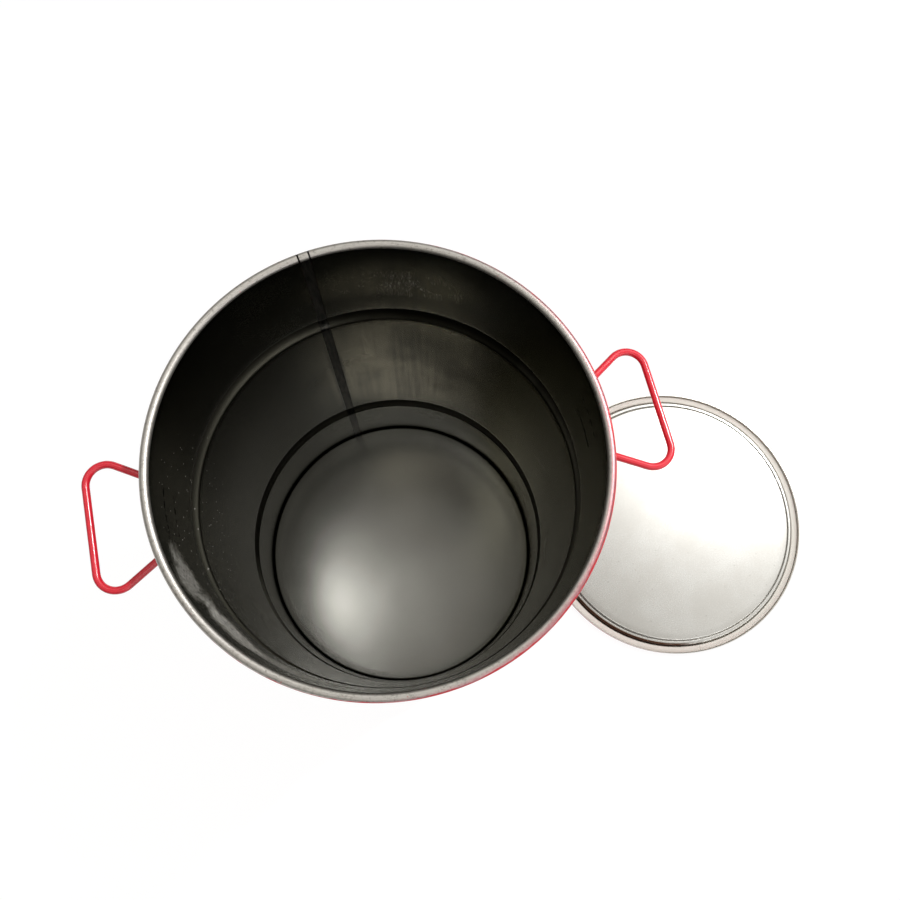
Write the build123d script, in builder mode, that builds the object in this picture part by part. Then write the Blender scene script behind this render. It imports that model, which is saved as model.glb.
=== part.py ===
from build123d import *
import math
import os

# Open-head steel drum of about 60 litres, with two drop handles and its lid taken off.
# The lid lies inside up on the floor beside the drum, under the right handle.
#
# Frame: origin on the drum's axis at floor level, +Z up, +X towards the right handle.
# The side seam is on the +Y side. All sizes are in millimetres and degrees.

# Body: one rolled sheet with a curled rim and two rolling hoops
inner_radius = 190.0
body_sheet = 1.0
total_height = 580.0
curl_radius = 4.0
curl_turn = 310.0
lower_hoop_height = 135.0
hoop_width = 30.0
hoop_depth = 7.0
hoop_shoulder_radius = 5.0

# Side seam: the lapped and welded strip that closes the rolled sheet
seam_direction = 98.0
seam_width = 10.0
seam_proud = 0.15
seam_proud_end_gap = 6.0

# Bottom head: a countersunk disc, double-seamed to the body at the chime
head_sheet = 1.0
panel_height = 16.5
panel_shoulder_radius = 4.0
chime_gap = 0.1
chime_foot_wear = 0.15
body_hook_height = 10.5
cover_hook_height = 5.5
sealant_height = 1.6

# Handles: round bar, bent to a loop that widens outwards, with its ends turned in.
# They hang from pivots below the rim, and hanging down they stay clear of the upper hoop.
# Both are set a little towards the seam from the X axis, as the photo shows.
rod_diameter = 7.0
pivot_drop = 57.0
pivot_wall_gap = 0.5
handle_hoop_gap = 4.5
handle_direction = 1.3
handle_reach = 64.0
handle_root_half_width = 30.7
handle_bar_half_width = 70.3
handle_corner_radius = 17.5
handle_root_radius = 8.0
rod_end_half_gap = 4.0
rod_end_chamfer = 0.6

# Handle brackets: pressed plates with a channel for the bar, spot-welded to the body
bracket_sheet = 2.0
bracket_width = 48.0
bracket_height = 42.0
bracket_corner_radius = 5.0
bracket_standoff = 0.25
channel_clearance = 0.06
channel_root_radius = 1.5

# Spot welds: two rows for each bracket, one above and one below its channel
weld_length = 7.0
weld_width = 3.0
weld_pitch = 11.0
welds_in_row = 4
weld_row_offset = 15.0

# Lid: pressed sheet with a gasket groove for the curl, drawn inside up
lid_sheet = 0.9
lid_mouth_clearance = 0.8
lid_curl_clearance = 1.0
lid_skirt_height = 10.5
lid_ledge_height = 9.3
lid_ledge_width = 4.5
lid_panel_height = 12.8
lid_wall_lean = 2.2
lid_step_lean = 3.0
lid_bend_radius = 2.0
lid_drum_gap = 13.0
lid_direction = -6.8

# Gasket: a soft strip laid in the lid's groove, its two ends butted
gasket_thickness = 4.0
gasket_wall_clearance = 0.8
gasket_skirt_clearance = 0.3
gasket_top_radius = 1.2
gasket_butt_gap = 0.5
gasket_butt_direction = -93.0

# Worked out from the sizes above
outer_radius = inner_radius + body_sheet
curl_centre_height = total_height - curl_radius
rim_radius = inner_radius + 2 * curl_radius
seam_angle = math.degrees(seam_width / inner_radius)
rod_radius = rod_diameter / 2
pivot_radius = outer_radius + pivot_wall_gap + rod_radius
pivot_height = total_height - pivot_drop

# The upper hoop lies below the hanging handles
hoop_half_width = hoop_width / 2
hanging_height = pivot_height - handle_reach - rod_radius
upper_hoop_height = hanging_height - handle_hoop_gap - hoop_half_width

# A hoop's two shoulder arcs and its crown arc meet at this angle from the wall
hoop_arc = 2 * math.degrees(math.atan(hoop_depth / hoop_half_width))
hoop_crown_radius = hoop_half_width / math.sin(math.radians(hoop_arc)) - hoop_shoulder_radius

# The chime, from the drum's inside outwards: head, body wall, head's hook, body's hook, head
chime_pocket = head_sheet + 2 * chime_gap
body_turn_radius = (2 * body_sheet + chime_pocket) / 2
body_hook_radius = inner_radius + 2 * body_turn_radius
chime_centre_height = head_sheet + chime_gap + body_turn_radius - chime_foot_wear
head_wall_radius = inner_radius - chime_gap
head_turn_radius = body_turn_radius + chime_gap
head_rim_radius = head_wall_radius + 2 * head_turn_radius
cover_turn_radius = (body_sheet + 2 * chime_gap) / 2
cover_turn_height = body_hook_height + chime_gap

# The lid's groove lies between a wall that enters the mouth and a skirt outside the curl
lid_wall_radius = inner_radius - lid_mouth_clearance
lid_skirt_radius = rim_radius + lid_curl_clearance
lid_radius = lid_skirt_radius + lid_sheet
lid_distance = rim_radius + lid_radius + lid_drum_gap
lid_centre = (
    lid_distance * math.cos(math.radians(lid_direction)),
    lid_distance * math.sin(math.radians(lid_direction)),
)


def sheet_section(start, heading, moves, sheet):
    """Return the section of a bent sheet, drawn from start along moves.

    A move is a straight length, or a bend as (radius, turn). The moves follow one face of the
    sheet, and the sheet lies on that face's right-hand side.
    """
    with BuildSketch() as section:
        with BuildLine():
            ends = []
            for depth in (0, sheet):
                direction = Vector(1, 0).rotate(Axis.Z, heading)
                point = Vector(*start) + direction.rotate(Axis.Z, -90) * depth
                ends.append(point)
                for move in moves:
                    if isinstance(move, tuple):
                        radius, turn = move
                        radius += math.copysign(depth, turn)
                        face = JernArc(start=point, tangent=direction, radius=radius, arc_size=turn)
                        direction = face % 1
                    else:
                        face = PolarLine(start=point, length=move, direction=direction)
                    point = face @ 1
                ends.append(point)
            Line(ends[0], ends[2])
            Line(ends[1], ends[3])
        make_face()
    return section.sketch


def wall_moves(low, high, proud):
    """Return the moves up the wall from low to high, on the face that is proud of its inside."""
    hoop_moves = [
        (hoop_shoulder_radius + proud, -hoop_arc),
        (hoop_crown_radius - proud, 2 * hoop_arc),
        (hoop_shoulder_radius + proud, -hoop_arc),
    ]
    moves = []
    height = low
    for hoop_height in (lower_hoop_height, upper_hoop_height):
        moves += [hoop_height - hoop_half_width - height, *hoop_moves]
        height = hoop_height + hoop_half_width
    return moves + [high - height]


def body_section():
    """Return the body's section: hook, chime, wall with its hoops, and curl."""
    moves = [
        body_hook_height - chime_centre_height,
        (body_turn_radius, -180),
        *wall_moves(chime_centre_height, curl_centre_height, 0),
        (curl_radius, -curl_turn),
    ]
    return sheet_section((body_hook_radius, body_hook_height), -90, moves, body_sheet)


# Body, open by the width of its side seam
with BuildPart() as body_shell:
    with BuildSketch(Plane.XZ.rotated((0, 0, seam_direction + seam_angle / 2))):
        add(body_section())
    revolve(axis=Axis.Z, revolution_arc=360 - seam_angle)
body_shell.part.label = "body_shell"

# Side seam: the same section, and along the wall a strip that is proud of both faces
with BuildPart() as side_seam_weld:
    with BuildSketch(Plane.XZ.rotated((0, 0, seam_direction - seam_angle / 2))):
        add(body_section())
    revolve(axis=Axis.Z, revolution_arc=seam_angle)
    with BuildSketch(Plane.XZ.rotated((0, 0, seam_direction - seam_angle / 2))):
        strip_low = panel_height + seam_proud_end_gap
        strip_high = curl_centre_height - seam_proud_end_gap
        strip_moves = wall_moves(strip_low, strip_high, seam_proud)
        strip_start = (inner_radius - seam_proud, strip_low)
        add(sheet_section(strip_start, 90, strip_moves, body_sheet + 2 * seam_proud))
    revolve(axis=Axis.Z, revolution_arc=seam_angle)
side_seam_weld.part.label = "side_seam_weld"

# Bottom head: panel, shoulder, wall, then hooked round the body's hook
with BuildPart() as bottom_head:
    with BuildSketch(Plane.XZ):
        head_moves = [
            head_wall_radius - panel_shoulder_radius,
            (panel_shoulder_radius, -90),
            panel_height - panel_shoulder_radius - chime_centre_height,
            (head_turn_radius, 180),
            cover_turn_height - chime_centre_height,
            (cover_turn_radius, 180),
            cover_turn_height - cover_hook_height,
        ]
        add(sheet_section((0, panel_height), 0, head_moves, head_sheet))
    revolve(axis=Axis.Z)
    split(bisect_by=Plane.XY, keep=Keep.TOP)
bottom_head.part.label = "bottom_head"

# Sealing compound, closed in between the head's hook and the body's turn
with BuildPart() as chime_sealant:
    with BuildSketch(Plane.XZ):
        with Locations((outer_radius + chime_pocket / 2, cover_hook_height - chime_gap)):
            Rectangle(
                chime_pocket - 2 * chime_gap,
                sealant_height,
                align=(Align.CENTER, Align.MAX),
            )
    revolve(axis=Axis.Z)
chime_sealant.part.label = "chime_sealant"

# Handles and what holds them, alike on both sides: drawn on the X axis, then turned into place
side_parts = []
for side, side_name in ((1, "right"), (-1, "left")):
    # Handle: five straight lengths of bar joined by four bends
    with BuildPart() as handle:
        with BuildLine(Plane.XY.offset(pivot_height)) as bar_line:
            bar_radius = pivot_radius + handle_reach
            FilletPolyline(
                (side * pivot_radius, rod_end_half_gap),
                (side * pivot_radius, handle_root_half_width),
                (side * bar_radius, handle_bar_half_width),
                (side * bar_radius, -handle_bar_half_width),
                (side * pivot_radius, -handle_root_half_width),
                (side * pivot_radius, -rod_end_half_gap),
                radius=[
                    handle_root_radius,
                    handle_corner_radius,
                    handle_corner_radius,
                    handle_root_radius,
                ],
            )
        with BuildSketch(Plane(origin=bar_line.line @ 0, z_dir=bar_line.line % 0)):
            Circle(rod_radius)
        sweep(path=bar_line.line)
        rod_ends = handle.faces().filter_by(Axis.Y).sort_by(SortBy.AREA)[:2]
        chamfer(rod_ends.edges(), rod_end_chamfer)

    # Bracket: a plate bent to the body, with a straight half-round channel pressed across it
    plate_inner = outer_radius + bracket_standoff
    plate_outer = plate_inner + bracket_sheet
    channel_inner = rod_radius + channel_clearance
    channel_outer = channel_inner + bracket_sheet
    plate_plane = Plane.YZ if side == 1 else Plane.YZ.rotated((0, 0, 180))
    channel_plane = Plane.XZ.offset(-bracket_width / 2)
    with BuildPart() as bracket:
        with BuildSketch(Plane.XY.offset(pivot_height - bracket_height / 2)):
            Circle(plate_outer)
            Circle(plate_inner, mode=Mode.SUBTRACT)
        extrude(amount=bracket_height)
        with BuildSketch(plate_plane):
            with Locations((0, pivot_height)):
                RectangleRounded(bracket_width, bracket_height, bracket_corner_radius)
        extrude(amount=plate_outer + channel_outer, mode=Mode.INTERSECT)
        with BuildSketch(channel_plane):
            with Locations((side * pivot_radius, pivot_height)):
                Circle(channel_outer)
            with Locations((side * (inner_radius + pivot_radius) / 2, pivot_height)):
                Rectangle(pivot_radius - inner_radius, 2 * channel_outer)
        extrude(amount=bracket_width)
        root_edges = bracket.edges(Select.NEW).filter_by(GeomType.CIRCLE).filter_by(Plane.XY)
        fillet(root_edges.sort_by(SortBy.RADIUS)[-2:], channel_root_radius)
        with BuildSketch(channel_plane):
            with Locations((side * pivot_radius, pivot_height)):
                Circle(channel_inner)
            with Locations((side * inner_radius, pivot_height)):
                Rectangle(2 * (pivot_radius - inner_radius), 2 * channel_inner)
        extrude(amount=bracket_width, mode=Mode.SUBTRACT)
        with BuildSketch(Plane.XY.offset(pivot_height - bracket_height)):
            Circle(plate_inner)
        extrude(amount=2 * bracket_height, mode=Mode.SUBTRACT)

    # Welds: nuggets that fill the stand-off between the body and the bracket
    with BuildPart() as welds:
        with BuildSketch(Plane.XY.offset(pivot_height - bracket_height / 2)):
            Circle(plate_inner)
            Circle(outer_radius, mode=Mode.SUBTRACT)
        extrude(amount=bracket_height)
        with BuildSketch(plate_plane):
            for row in (-weld_row_offset, weld_row_offset):
                with Locations((0, pivot_height + row)):
                    with GridLocations(weld_pitch, 1, welds_in_row, 1):
                        SlotOverall(weld_length, weld_width)
        extrude(amount=plate_outer, mode=Mode.INTERSECT)

    names = (f"handle_{side_name}", f"handle_bracket_{side_name}", f"bracket_welds_{side_name}")
    for name, drawn in zip(names, (handle, bracket, welds)):
        placed = drawn.part.rotate(Axis.Z, side * handle_direction)
        placed.label = name
        side_parts.append(placed)

# Lid, inside up: panel, step, ledge, wall, gasket groove and skirt
lid_plane = Plane(origin=(*lid_centre, 0), x_dir=(1, 0, 0), z_dir=(0, -1, 0))
lid_axis = Axis((*lid_centre, 0), (0, 0, 1))
with BuildPart() as lid:
    with BuildSketch(lid_plane):
        with BuildLine():
            ledge_outer = lid_wall_radius - lid_wall_lean
            ledge_inner = ledge_outer - lid_ledge_width
            FilletPolyline(
                (0, lid_panel_height),
                (ledge_inner - lid_step_lean, lid_panel_height),
                (ledge_inner, lid_ledge_height),
                (ledge_outer, lid_ledge_height),
                (lid_wall_radius, lid_sheet),
                (lid_skirt_radius, lid_sheet),
                (lid_skirt_radius, lid_skirt_height),
                radius=lid_bend_radius,
            )
            offset(amount=lid_sheet, side=Side.RIGHT)
        make_face()
    revolve(axis=lid_axis)
lid.part.label = "lid"

# Gasket, seated on the floor of the groove
with BuildPart() as lid_gasket:
    gasket_inner = lid_wall_radius + gasket_wall_clearance
    gasket_outer = lid_skirt_radius - gasket_skirt_clearance
    butt_angle = math.degrees(gasket_butt_gap / lid_wall_radius)
    with BuildSketch(lid_plane.rotated((0, 0, gasket_butt_direction + butt_angle / 2))):
        with Locations((gasket_inner, lid_sheet)):
            strip = Rectangle(
                gasket_outer - gasket_inner,
                gasket_thickness,
                align=(Align.MIN, Align.MIN),
            )
        corners = strip.vertices().group_by(Axis.Y)
        fillet(corners[0], lid_bend_radius)
        fillet(corners[-1], gasket_top_radius)
    revolve(axis=lid_axis, revolution_arc=360 - butt_angle)
lid_gasket.part.label = "lid_gasket"

os.makedirs("parts", exist_ok=True)
single_parts = [
    body_shell.part,
    side_seam_weld.part,
    bottom_head.part,
    chime_sealant.part,
    lid.part,
    lid_gasket.part,
]
for piece in single_parts + side_parts:
    export_step(piece, f"parts/{piece.label}.step")
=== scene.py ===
"""Dresses the open-head steel drum: bare sheet inside, red lacquer outside, its lid beside it.

Sizes are in millimetres and angles in degrees until a mesh is made. The meshes are in metres, in
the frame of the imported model: origin on the drum's axis at floor level, +Z up, +X through the
right handle.
"""
import logging
import math
from collections.abc import Callable, Sequence
from dataclasses import dataclass
from enum import Enum

import bmesh
import bpy
import numpy as np
from mathutils import Euler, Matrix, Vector


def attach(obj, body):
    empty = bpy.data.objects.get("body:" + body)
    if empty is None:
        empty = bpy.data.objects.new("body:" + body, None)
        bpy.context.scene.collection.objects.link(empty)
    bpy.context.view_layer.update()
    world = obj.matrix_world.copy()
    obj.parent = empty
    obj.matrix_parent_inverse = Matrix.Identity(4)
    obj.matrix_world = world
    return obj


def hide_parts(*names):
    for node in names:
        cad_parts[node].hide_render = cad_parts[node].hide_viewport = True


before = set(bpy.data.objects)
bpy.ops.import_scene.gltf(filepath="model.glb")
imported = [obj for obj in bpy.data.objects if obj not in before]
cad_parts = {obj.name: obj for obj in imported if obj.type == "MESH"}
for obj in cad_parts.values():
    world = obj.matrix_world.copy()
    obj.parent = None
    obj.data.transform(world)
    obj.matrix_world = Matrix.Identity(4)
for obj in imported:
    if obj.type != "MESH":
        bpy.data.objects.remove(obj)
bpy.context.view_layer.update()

log = logging.getLogger("drum")

MM = 0.001
SHARP_EDGE = math.radians(42)

Move = float | tuple[float, float]
Relief = Callable[[np.ndarray, np.ndarray], np.ndarray]
Nodes = bpy.types.NodeTree
Node = bpy.types.Node


def linear(hex_colour: str) -> tuple[float, float, float, float]:
    """Turn an sRGB hex colour into the linear colour that a shader takes.

    Args:
        hex_colour: Six hex digits.

    Returns:
        Linear red, green and blue, and an alpha of 1.
    """
    channels = [int(hex_colour[i : i + 2], 16) / 255 for i in (0, 2, 4)]
    toe, slope = 0.04045, 12.92
    shades = [c / slope if c <= toe else ((c + 0.055) / 1.055) ** 2.4 for c in channels]
    return (*shades, 1.0)


def repeats(size: float) -> float:
    """Return the texture scale that makes one feature of a pattern this many millimetres."""
    return 1 / (size * MM)


def in_use(sockets: Sequence[bpy.types.NodeSocket], key: str | int) -> bpy.types.NodeSocket:
    """Find a socket by number, or by name among those that the node's settings leave in use.

    Args:
        sockets: A node's inputs or outputs.
        key: Number or name.

    Returns:
        The socket.
    """
    if isinstance(key, int):
        return sockets[key]
    return next(socket for socket in sockets if socket.enabled and socket.name == key)


def add_node(
    tree: Nodes, kind: str, inputs: dict[str | int, object] | None = None, **settings: object
) -> Node:
    """Add a node with its settings and links.

    Args:
        tree: Node tree that takes the node.
        kind: Blender's name for the kind of node.
        inputs: Values, sockets or nodes by input name or number. A node stands for its first
            output in use.
        settings: Values of the node's own properties.

    Returns:
        The new node.
    """
    node = tree.nodes.new(kind)
    for name, value in settings.items():
        setattr(node, name, value)
    for key, value in (inputs or {}).items():
        if isinstance(value, bpy.types.Node):
            value = next(socket for socket in value.outputs if socket.enabled)
        if isinstance(value, bpy.types.NodeSocket):
            tree.links.new(value, in_use(node.inputs, key))
        else:
            in_use(node.inputs, key).default_value = value
    return node


def maths(tree: Nodes, operation: str, *terms: object) -> Node:
    """Add a maths node for one operation on one or two values."""
    return add_node(tree, "ShaderNodeMath", dict(enumerate(terms)), operation=operation)


def weighted(tree: Nodes, *terms: tuple[Node, float]) -> Node:
    """Add up patterns.

    Args:
        tree: Node tree that takes the nodes.
        terms: Each pattern with its weight.

    Returns:
        The node of the sum.
    """
    total: Node | float = 0.0
    for source, weight in terms:
        parts = {0: source, 1: weight, 2: total}
        total = add_node(tree, "ShaderNodeMath", parts, operation="MULTIPLY_ADD")
    return total


def step_up(tree: Nodes, value: Node, low: float, high: float, top: float = 1.0) -> Node:
    """Ramp a pattern smoothly from 0 below low to top above high.

    Args:
        tree: Node tree that takes the node.
        value: Pattern.
        low: Value where the ramp starts. It may be above high, for a falling ramp.
        high: Value where the ramp ends.
        top: What the ramp ends at.

    Returns:
        The node of the ramp.
    """
    sign = 1 if high > low else -1
    scaled = weighted(tree, (value, sign))
    limits = {"Value": scaled, "From Min": sign * low, "From Max": sign * high, "To Max": top}
    return add_node(tree, "ShaderNodeMapRange", limits, interpolation_type="SMOOTHSTEP")


def both(tree: Nodes, first: Node, second: Node) -> Node:
    """Multiply two masks, so that only what both hold is left."""
    return maths(tree, "MULTIPLY", first, second)


def either(tree: Nodes, first: Node, second: Node) -> Node:
    """Take the stronger of two masks."""
    return maths(tree, "MAXIMUM", first, second)


def apart_from(tree: Nodes, value: object, middle: float) -> Node:
    """Return how far a value is from a middle one, in the value's own unit."""
    return maths(tree, "ABSOLUTE", maths(tree, "SUBTRACT", value, middle))


def shade_over(tree: Nodes, mask: Node, under: object, over: object) -> Node:
    """Lay one colour over another where a mask says.

    Args:
        tree: Node tree that takes the node.
        mask: Where the upper colour shows.
        under: Lower colour, as a node or six hex digits.
        over: Upper colour, as a node or six hex digits.

    Returns:
        The node of the colour.
    """
    low, high = (linear(c) if isinstance(c, str) else c for c in (under, over))
    parts = {"Factor": mask, "A": low, "B": high}
    return add_node(tree, "ShaderNodeMix", parts, data_type="RGBA")


def toward(tree: Nodes, place: object, direction: Sequence[float]) -> bpy.types.NodeSocket:
    """Measure how far coordinates lie along a direction."""
    parts = {0: place, 1: tuple(direction)}
    return add_node(tree, "ShaderNodeVectorMath", parts, operation="DOT_PRODUCT").outputs["Value"]


def drawn_out(tree: Nodes, place: object, share: float) -> Node:
    """Stretch a pattern upwards, given the share of the height that its coordinates keep."""
    return add_node(tree, "ShaderNodeMapping", {"Vector": place, "Scale": (1, 1, share)})


def noise(
    tree: Nodes, place: object, size: float, detail: float = 3.0, rough: float = 0.5
) -> Node:
    """Make a cloudy pattern.

    Args:
        tree: Node tree that takes the node.
        place: Coordinates, in metres.
        size: Size of one cloud, in millimetres.
        detail: How many finer layers it has.
        rough: How strong the finer layers are.

    Returns:
        The node of the pattern, about 0.5 on average.
    """
    parts = {"Vector": place, "Scale": repeats(size), "Detail": detail, "Roughness": rough}
    return add_node(tree, "ShaderNodeTexNoise", parts)


def specks(tree: Nodes, place: object, spacing: float, size: float, share: float) -> Node:
    """Scatter small round marks.

    Args:
        tree: Node tree that takes the nodes.
        place: Coordinates, in metres. Only their first two count.
        spacing: Distance between places that may hold a mark, in millimetres.
        size: Width of a mark, in millimetres.
        share: Share of the places that hold one.

    Returns:
        Mask of the marks.
    """
    parts = {"Vector": place, "Scale": repeats(spacing)}
    cells = add_node(tree, "ShaderNodeTexVoronoi", parts, voronoi_dimensions="2D")
    reach = size / spacing / 2
    dots = step_up(tree, cells, reach, reach * 0.5)
    chosen = add_node(tree, "ShaderNodeSeparateColor", {0: cells.outputs["Color"]})
    return both(tree, dots, step_up(tree, chosen, 1 - share, 1.001 - share))


def scratches(
    tree: Nodes, place: object, turn: tuple[float, float, float], length: float, share: float
) -> Node:
    """Draw sparse hairline scratches along one direction.

    Args:
        tree: Node tree that takes the nodes.
        place: Coordinates, in metres.
        turn: Turn of their direction away from Z, in degrees.
        length: Typical length, in millimetres.
        share: How much of the surface has any, from 0 to 1.

    Returns:
        Mask of the scratches.
    """
    slim = 0.04
    turned = add_node(
        tree,
        "ShaderNodeMapping",
        {"Vector": place, "Rotation": Vector(map(math.radians, turn)), "Scale": (1, 1, slim)},
    )
    lines = noise(tree, turned, length * slim, 1.0)
    hair = step_up(tree, apart_from(tree, lines, 0.5), 0.006, 0.002)
    where = step_up(tree, noise(tree, place, length, 2.0), 1 - share, 1.05 - share)
    return both(tree, hair, where)


def patch(
    tree: Nodes, place: object, centre: Vector, turn: float, reach: Vector, ragged: Node
) -> Node:
    """Mask one ragged patch of a surface.

    Args:
        tree: Node tree that takes the nodes.
        place: Coordinates, in metres.
        centre: Middle of the patch, in millimetres.
        turn: Turn of the patch round the drum's axis, in degrees.
        reach: Half its sizes, outwards, around and up, in millimetres.
        ragged: Pattern that breaks its edge.

    Returns:
        Mask of the patch, 1 in its middle and 0 outside.
    """
    parts = {
        "Vector": place,
        "Location": centre * MM,
        "Rotation": Vector((0, 0, math.radians(turn))),
        "Scale": reach * MM,
    }
    local = add_node(tree, "ShaderNodeMapping", parts, vector_type="TEXTURE")
    far = add_node(tree, "ShaderNodeVectorMath", {0: local}, operation="LENGTH")
    edge = maths(tree, "ADD", far.outputs["Value"], ragged)
    return step_up(tree, edge, 1.5, 0.9)


def finish_material(
    tree: Nodes,
    bump: Node | None = None,
    bump_depth: float = 0.0,
    **inputs: object,
) -> None:
    """Close a material with its shader and its fine relief.

    Args:
        tree: Node tree of the material.
        bump: Pattern of the relief.
        bump_depth: Depth of the relief, in millimetres.
        inputs: Shader inputs by name, with underscores for spaces.
    """
    values = {name.replace("_", " "): value for name, value in inputs.items()}
    if bump is not None:
        parts = {"Height": bump, "Distance": bump_depth * MM, "Strength": 1.0}
        values["Normal"] = add_node(tree, "ShaderNodeBump", parts)
    shader = add_node(tree, "ShaderNodeBsdfPrincipled", values)
    add_node(tree, "ShaderNodeOutputMaterial", {"Surface": shader})


def new_object(name: str, data: bpy.types.ID) -> bpy.types.Object:
    """Make an object of a mesh, a lamp or a camera and put it in the scene."""
    made = bpy.data.objects.new(name, data)
    bpy.context.scene.collection.objects.link(made)
    return made


@dataclass(frozen=True)
class Area:
    """One ragged patch of the drum's wall.

    Attributes:
        azimuth: Direction of its middle, in degrees.
        height: Height of its middle, in millimetres.
        around: Half its width, in millimetres.
        up: Half its height, in millimetres.
        strength: How strong its marks are, from 0 to 1.
    """

    azimuth: float
    height: float
    around: float
    up: float
    strength: float = 1.0

    def mask(self, tree: Nodes, place: bpy.types.NodeSocket, ragged: Node) -> Node:
        """Mask the patch, with a pattern that breaks its edge."""
        turn, radius = math.radians(self.azimuth), GAUGE.inner_radius
        middle = Vector((radius * math.cos(turn), radius * math.sin(turn), self.height))
        reach = Vector((self.around, self.around, self.up))
        return patch(tree, place, middle, self.azimuth, reach, ragged)


@dataclass(frozen=True)
class Finish:
    """A surface finish, built as a material once and then shared.

    Attributes:
        name: Maker's name for the finish.
    """

    name: str

    def material(self) -> bpy.types.Material:
        """Return the finish's material, building it on first use."""
        known = bpy.data.materials.get(self.name)
        if known is not None:
            return known
        made = bpy.data.materials.new(self.name)
        made.use_nodes = True
        made.node_tree.nodes.clear()
        place = add_node(made.node_tree, "ShaderNodeTexCoord").outputs["Object"]
        self.lay_out(made.node_tree, place)
        return made

    def lay_out(self, tree: Nodes, place: bpy.types.NodeSocket) -> None:
        """Add the finish's own nodes.

        Args:
            tree: Empty node tree.
            place: Object coordinates, in metres.
        """
        raise NotImplementedError


@dataclass(frozen=True)
class RolledSteel(Finish):
    """Cold-rolled low-carbon sheet, bare and oiled, formed by rolling.

    The eye sees a dark satin metal with soft upright bands and streaks, and a few scratches. Painted
    shade darkens its right side, in colour and in a greyer edge tint, and the weld's heat darkens a
    band along the seam. Painted light makes patches of the back lighter, and painted shade darkens
    the upper hoop's groove at the back. The stretched hoops are duller, and chalky scuffs show below
    the rim.
    """

    dark: str = "2b2b23"
    light: str = "45453a"
    painted_light: str = "c6bfab"
    painted_groove_shade: str = "1d1c15"
    painted_shade_colour: str = "24241e"
    painted_shade_tint: str = "c6c4ba"
    stretched: str = "5b594f"
    heat: str = "24262a"
    scratch: str = "2c2a26"
    scuff: str = "f1ede5"
    roughness: float = 0.24
    streak_width: float = 5.0
    streak_length: float = 160.0
    band_width: float = 34.0
    band_share: float = 0.01
    cloud_size: float = 110.0
    ragged_size: float = 16.0
    scratch_length: float = 26.0
    slid_length: float = 22.0
    fine_size: float = 3.2
    haze_size: float = 26.0
    dust_spacing: float = 11.0
    dust_size: float = 1.3
    grain_size: float = 0.9
    grain_depth: float = 0.012
    # Lighter patches on the back wall: painted light, standing in for light reflected there.
    painted_light_back: Area = Area(68.0, 320.0, 165.0, 250.0)
    painted_light_top: Area = Area(74.0, 515.0, 120.0, 55.0)
    # Right side of the wall, darkened as painted shade in its colour and in a greyer edge tint.
    oiled: Area = Area(-16.0, 300.0, 205.0, 520.0)
    # Stretch of the upper hoop at the back, darkened as painted shade in its groove.
    soiled: Area = Area(60.0, 436.0, 190.0, 60.0)
    slid: Area = Area(72.0, 508.0, 80.0, 34.0)
    dusty: Area = Area(-165.0, 420.0, 150.0, 190.0)
    scuffs: tuple[Area, ...] = (
        Area(-163.0, 535.0, 40.0, 44.0, 0.7),
        Area(-146.0, 512.0, 62.0, 44.0, 1.0),
        Area(-126.0, 512.0, 70.0, 38.0, 0.8),
    )

    @property
    def heated(self) -> Area:
        """Band along the side seam that its weld has heated."""
        return Area(GAUGE.seam_direction, 300.0, 13.0, 330.0)

    def lay_out(self, tree: Nodes, place: bpy.types.NodeSocket) -> None:
        """Add the finish's own nodes."""
        drawn = drawn_out(tree, place, self.streak_width / self.streak_length)
        streaks = noise(tree, drawn, self.streak_width, 5.0, 0.6)
        column = drawn_out(tree, place, self.band_share)
        cells = {"Vector": column, "Scale": repeats(self.band_width)}
        band_cells = add_node(tree, "ShaderNodeTexVoronoi", cells)
        bands = add_node(tree, "ShaderNodeSeparateColor", {0: band_cells.outputs["Color"]})
        clouds = noise(tree, place, self.cloud_size, 4.0, 0.55)
        tone = weighted(tree, (streaks, 0.45), (clouds, 0.9), (bands, 0.2))
        tone = step_up(tree, tone, 0.5, 1.1)
        metal = shade_over(tree, tone, self.dark, self.light)
        # Painted light: the back wall is lightened in these patches.
        painted_light_areas = [area.mask(tree, place, clouds) for area in (self.painted_light_back, self.painted_light_top)]
        bright = shade_over(tree, tone, self.light, self.painted_light)
        metal = shade_over(tree, either(tree, *painted_light_areas), metal, bright)
        # Painted shade: the right side of the wall is darkened here.
        oiled = self.oiled.mask(tree, place, weighted(tree, (clouds, 0.3)))
        metal = shade_over(tree, oiled, metal, self.painted_shade_colour)
        hoops = self.hoops(tree, place)
        metal = shade_over(tree, hoops, metal, self.stretched)
        # Painted shade: the upper hoop's groove is darkened at the back.
        soiled = both(tree, hoops, self.soiled.mask(tree, place, clouds))
        metal = shade_over(tree, soiled, metal, self.painted_groove_shade)
        ragged = weighted(tree, (noise(tree, drawn, self.ragged_size, 5.0, 0.7), 1.6))
        metal = shade_over(tree, self.heated.mask(tree, place, ragged), metal, self.heat)
        lines = scratches(tree, place, (0, 25, 30), self.scratch_length, 0.42)
        metal = shade_over(tree, lines, metal, self.scratch)
        chalk = self.chalk(tree, place, clouds)
        metal = shade_over(tree, chalk, metal, self.scuff)
        grain = noise(tree, place, self.grain_size, 4.0, 0.7)
        gloss = weighted(tree, (clouds, 0.16), (grain, 0.12), (chalk, 0.3), (hoops, 0.22))
        cover = weighted(tree, (chalk, 1.0), (hoops, 0.2))
        finish_material(
            tree,
            grain,
            self.grain_depth,
            Base_Color=metal,
            Metallic=step_up(tree, cover, 1.0, 0.0),
            Roughness=maths(tree, "ADD", gloss, self.roughness - 0.14),
            # The greyer edge tint on the right side is painted shade too.
            Specular_Tint=shade_over(tree, oiled, "ffffff", self.painted_shade_tint),
        )

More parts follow.
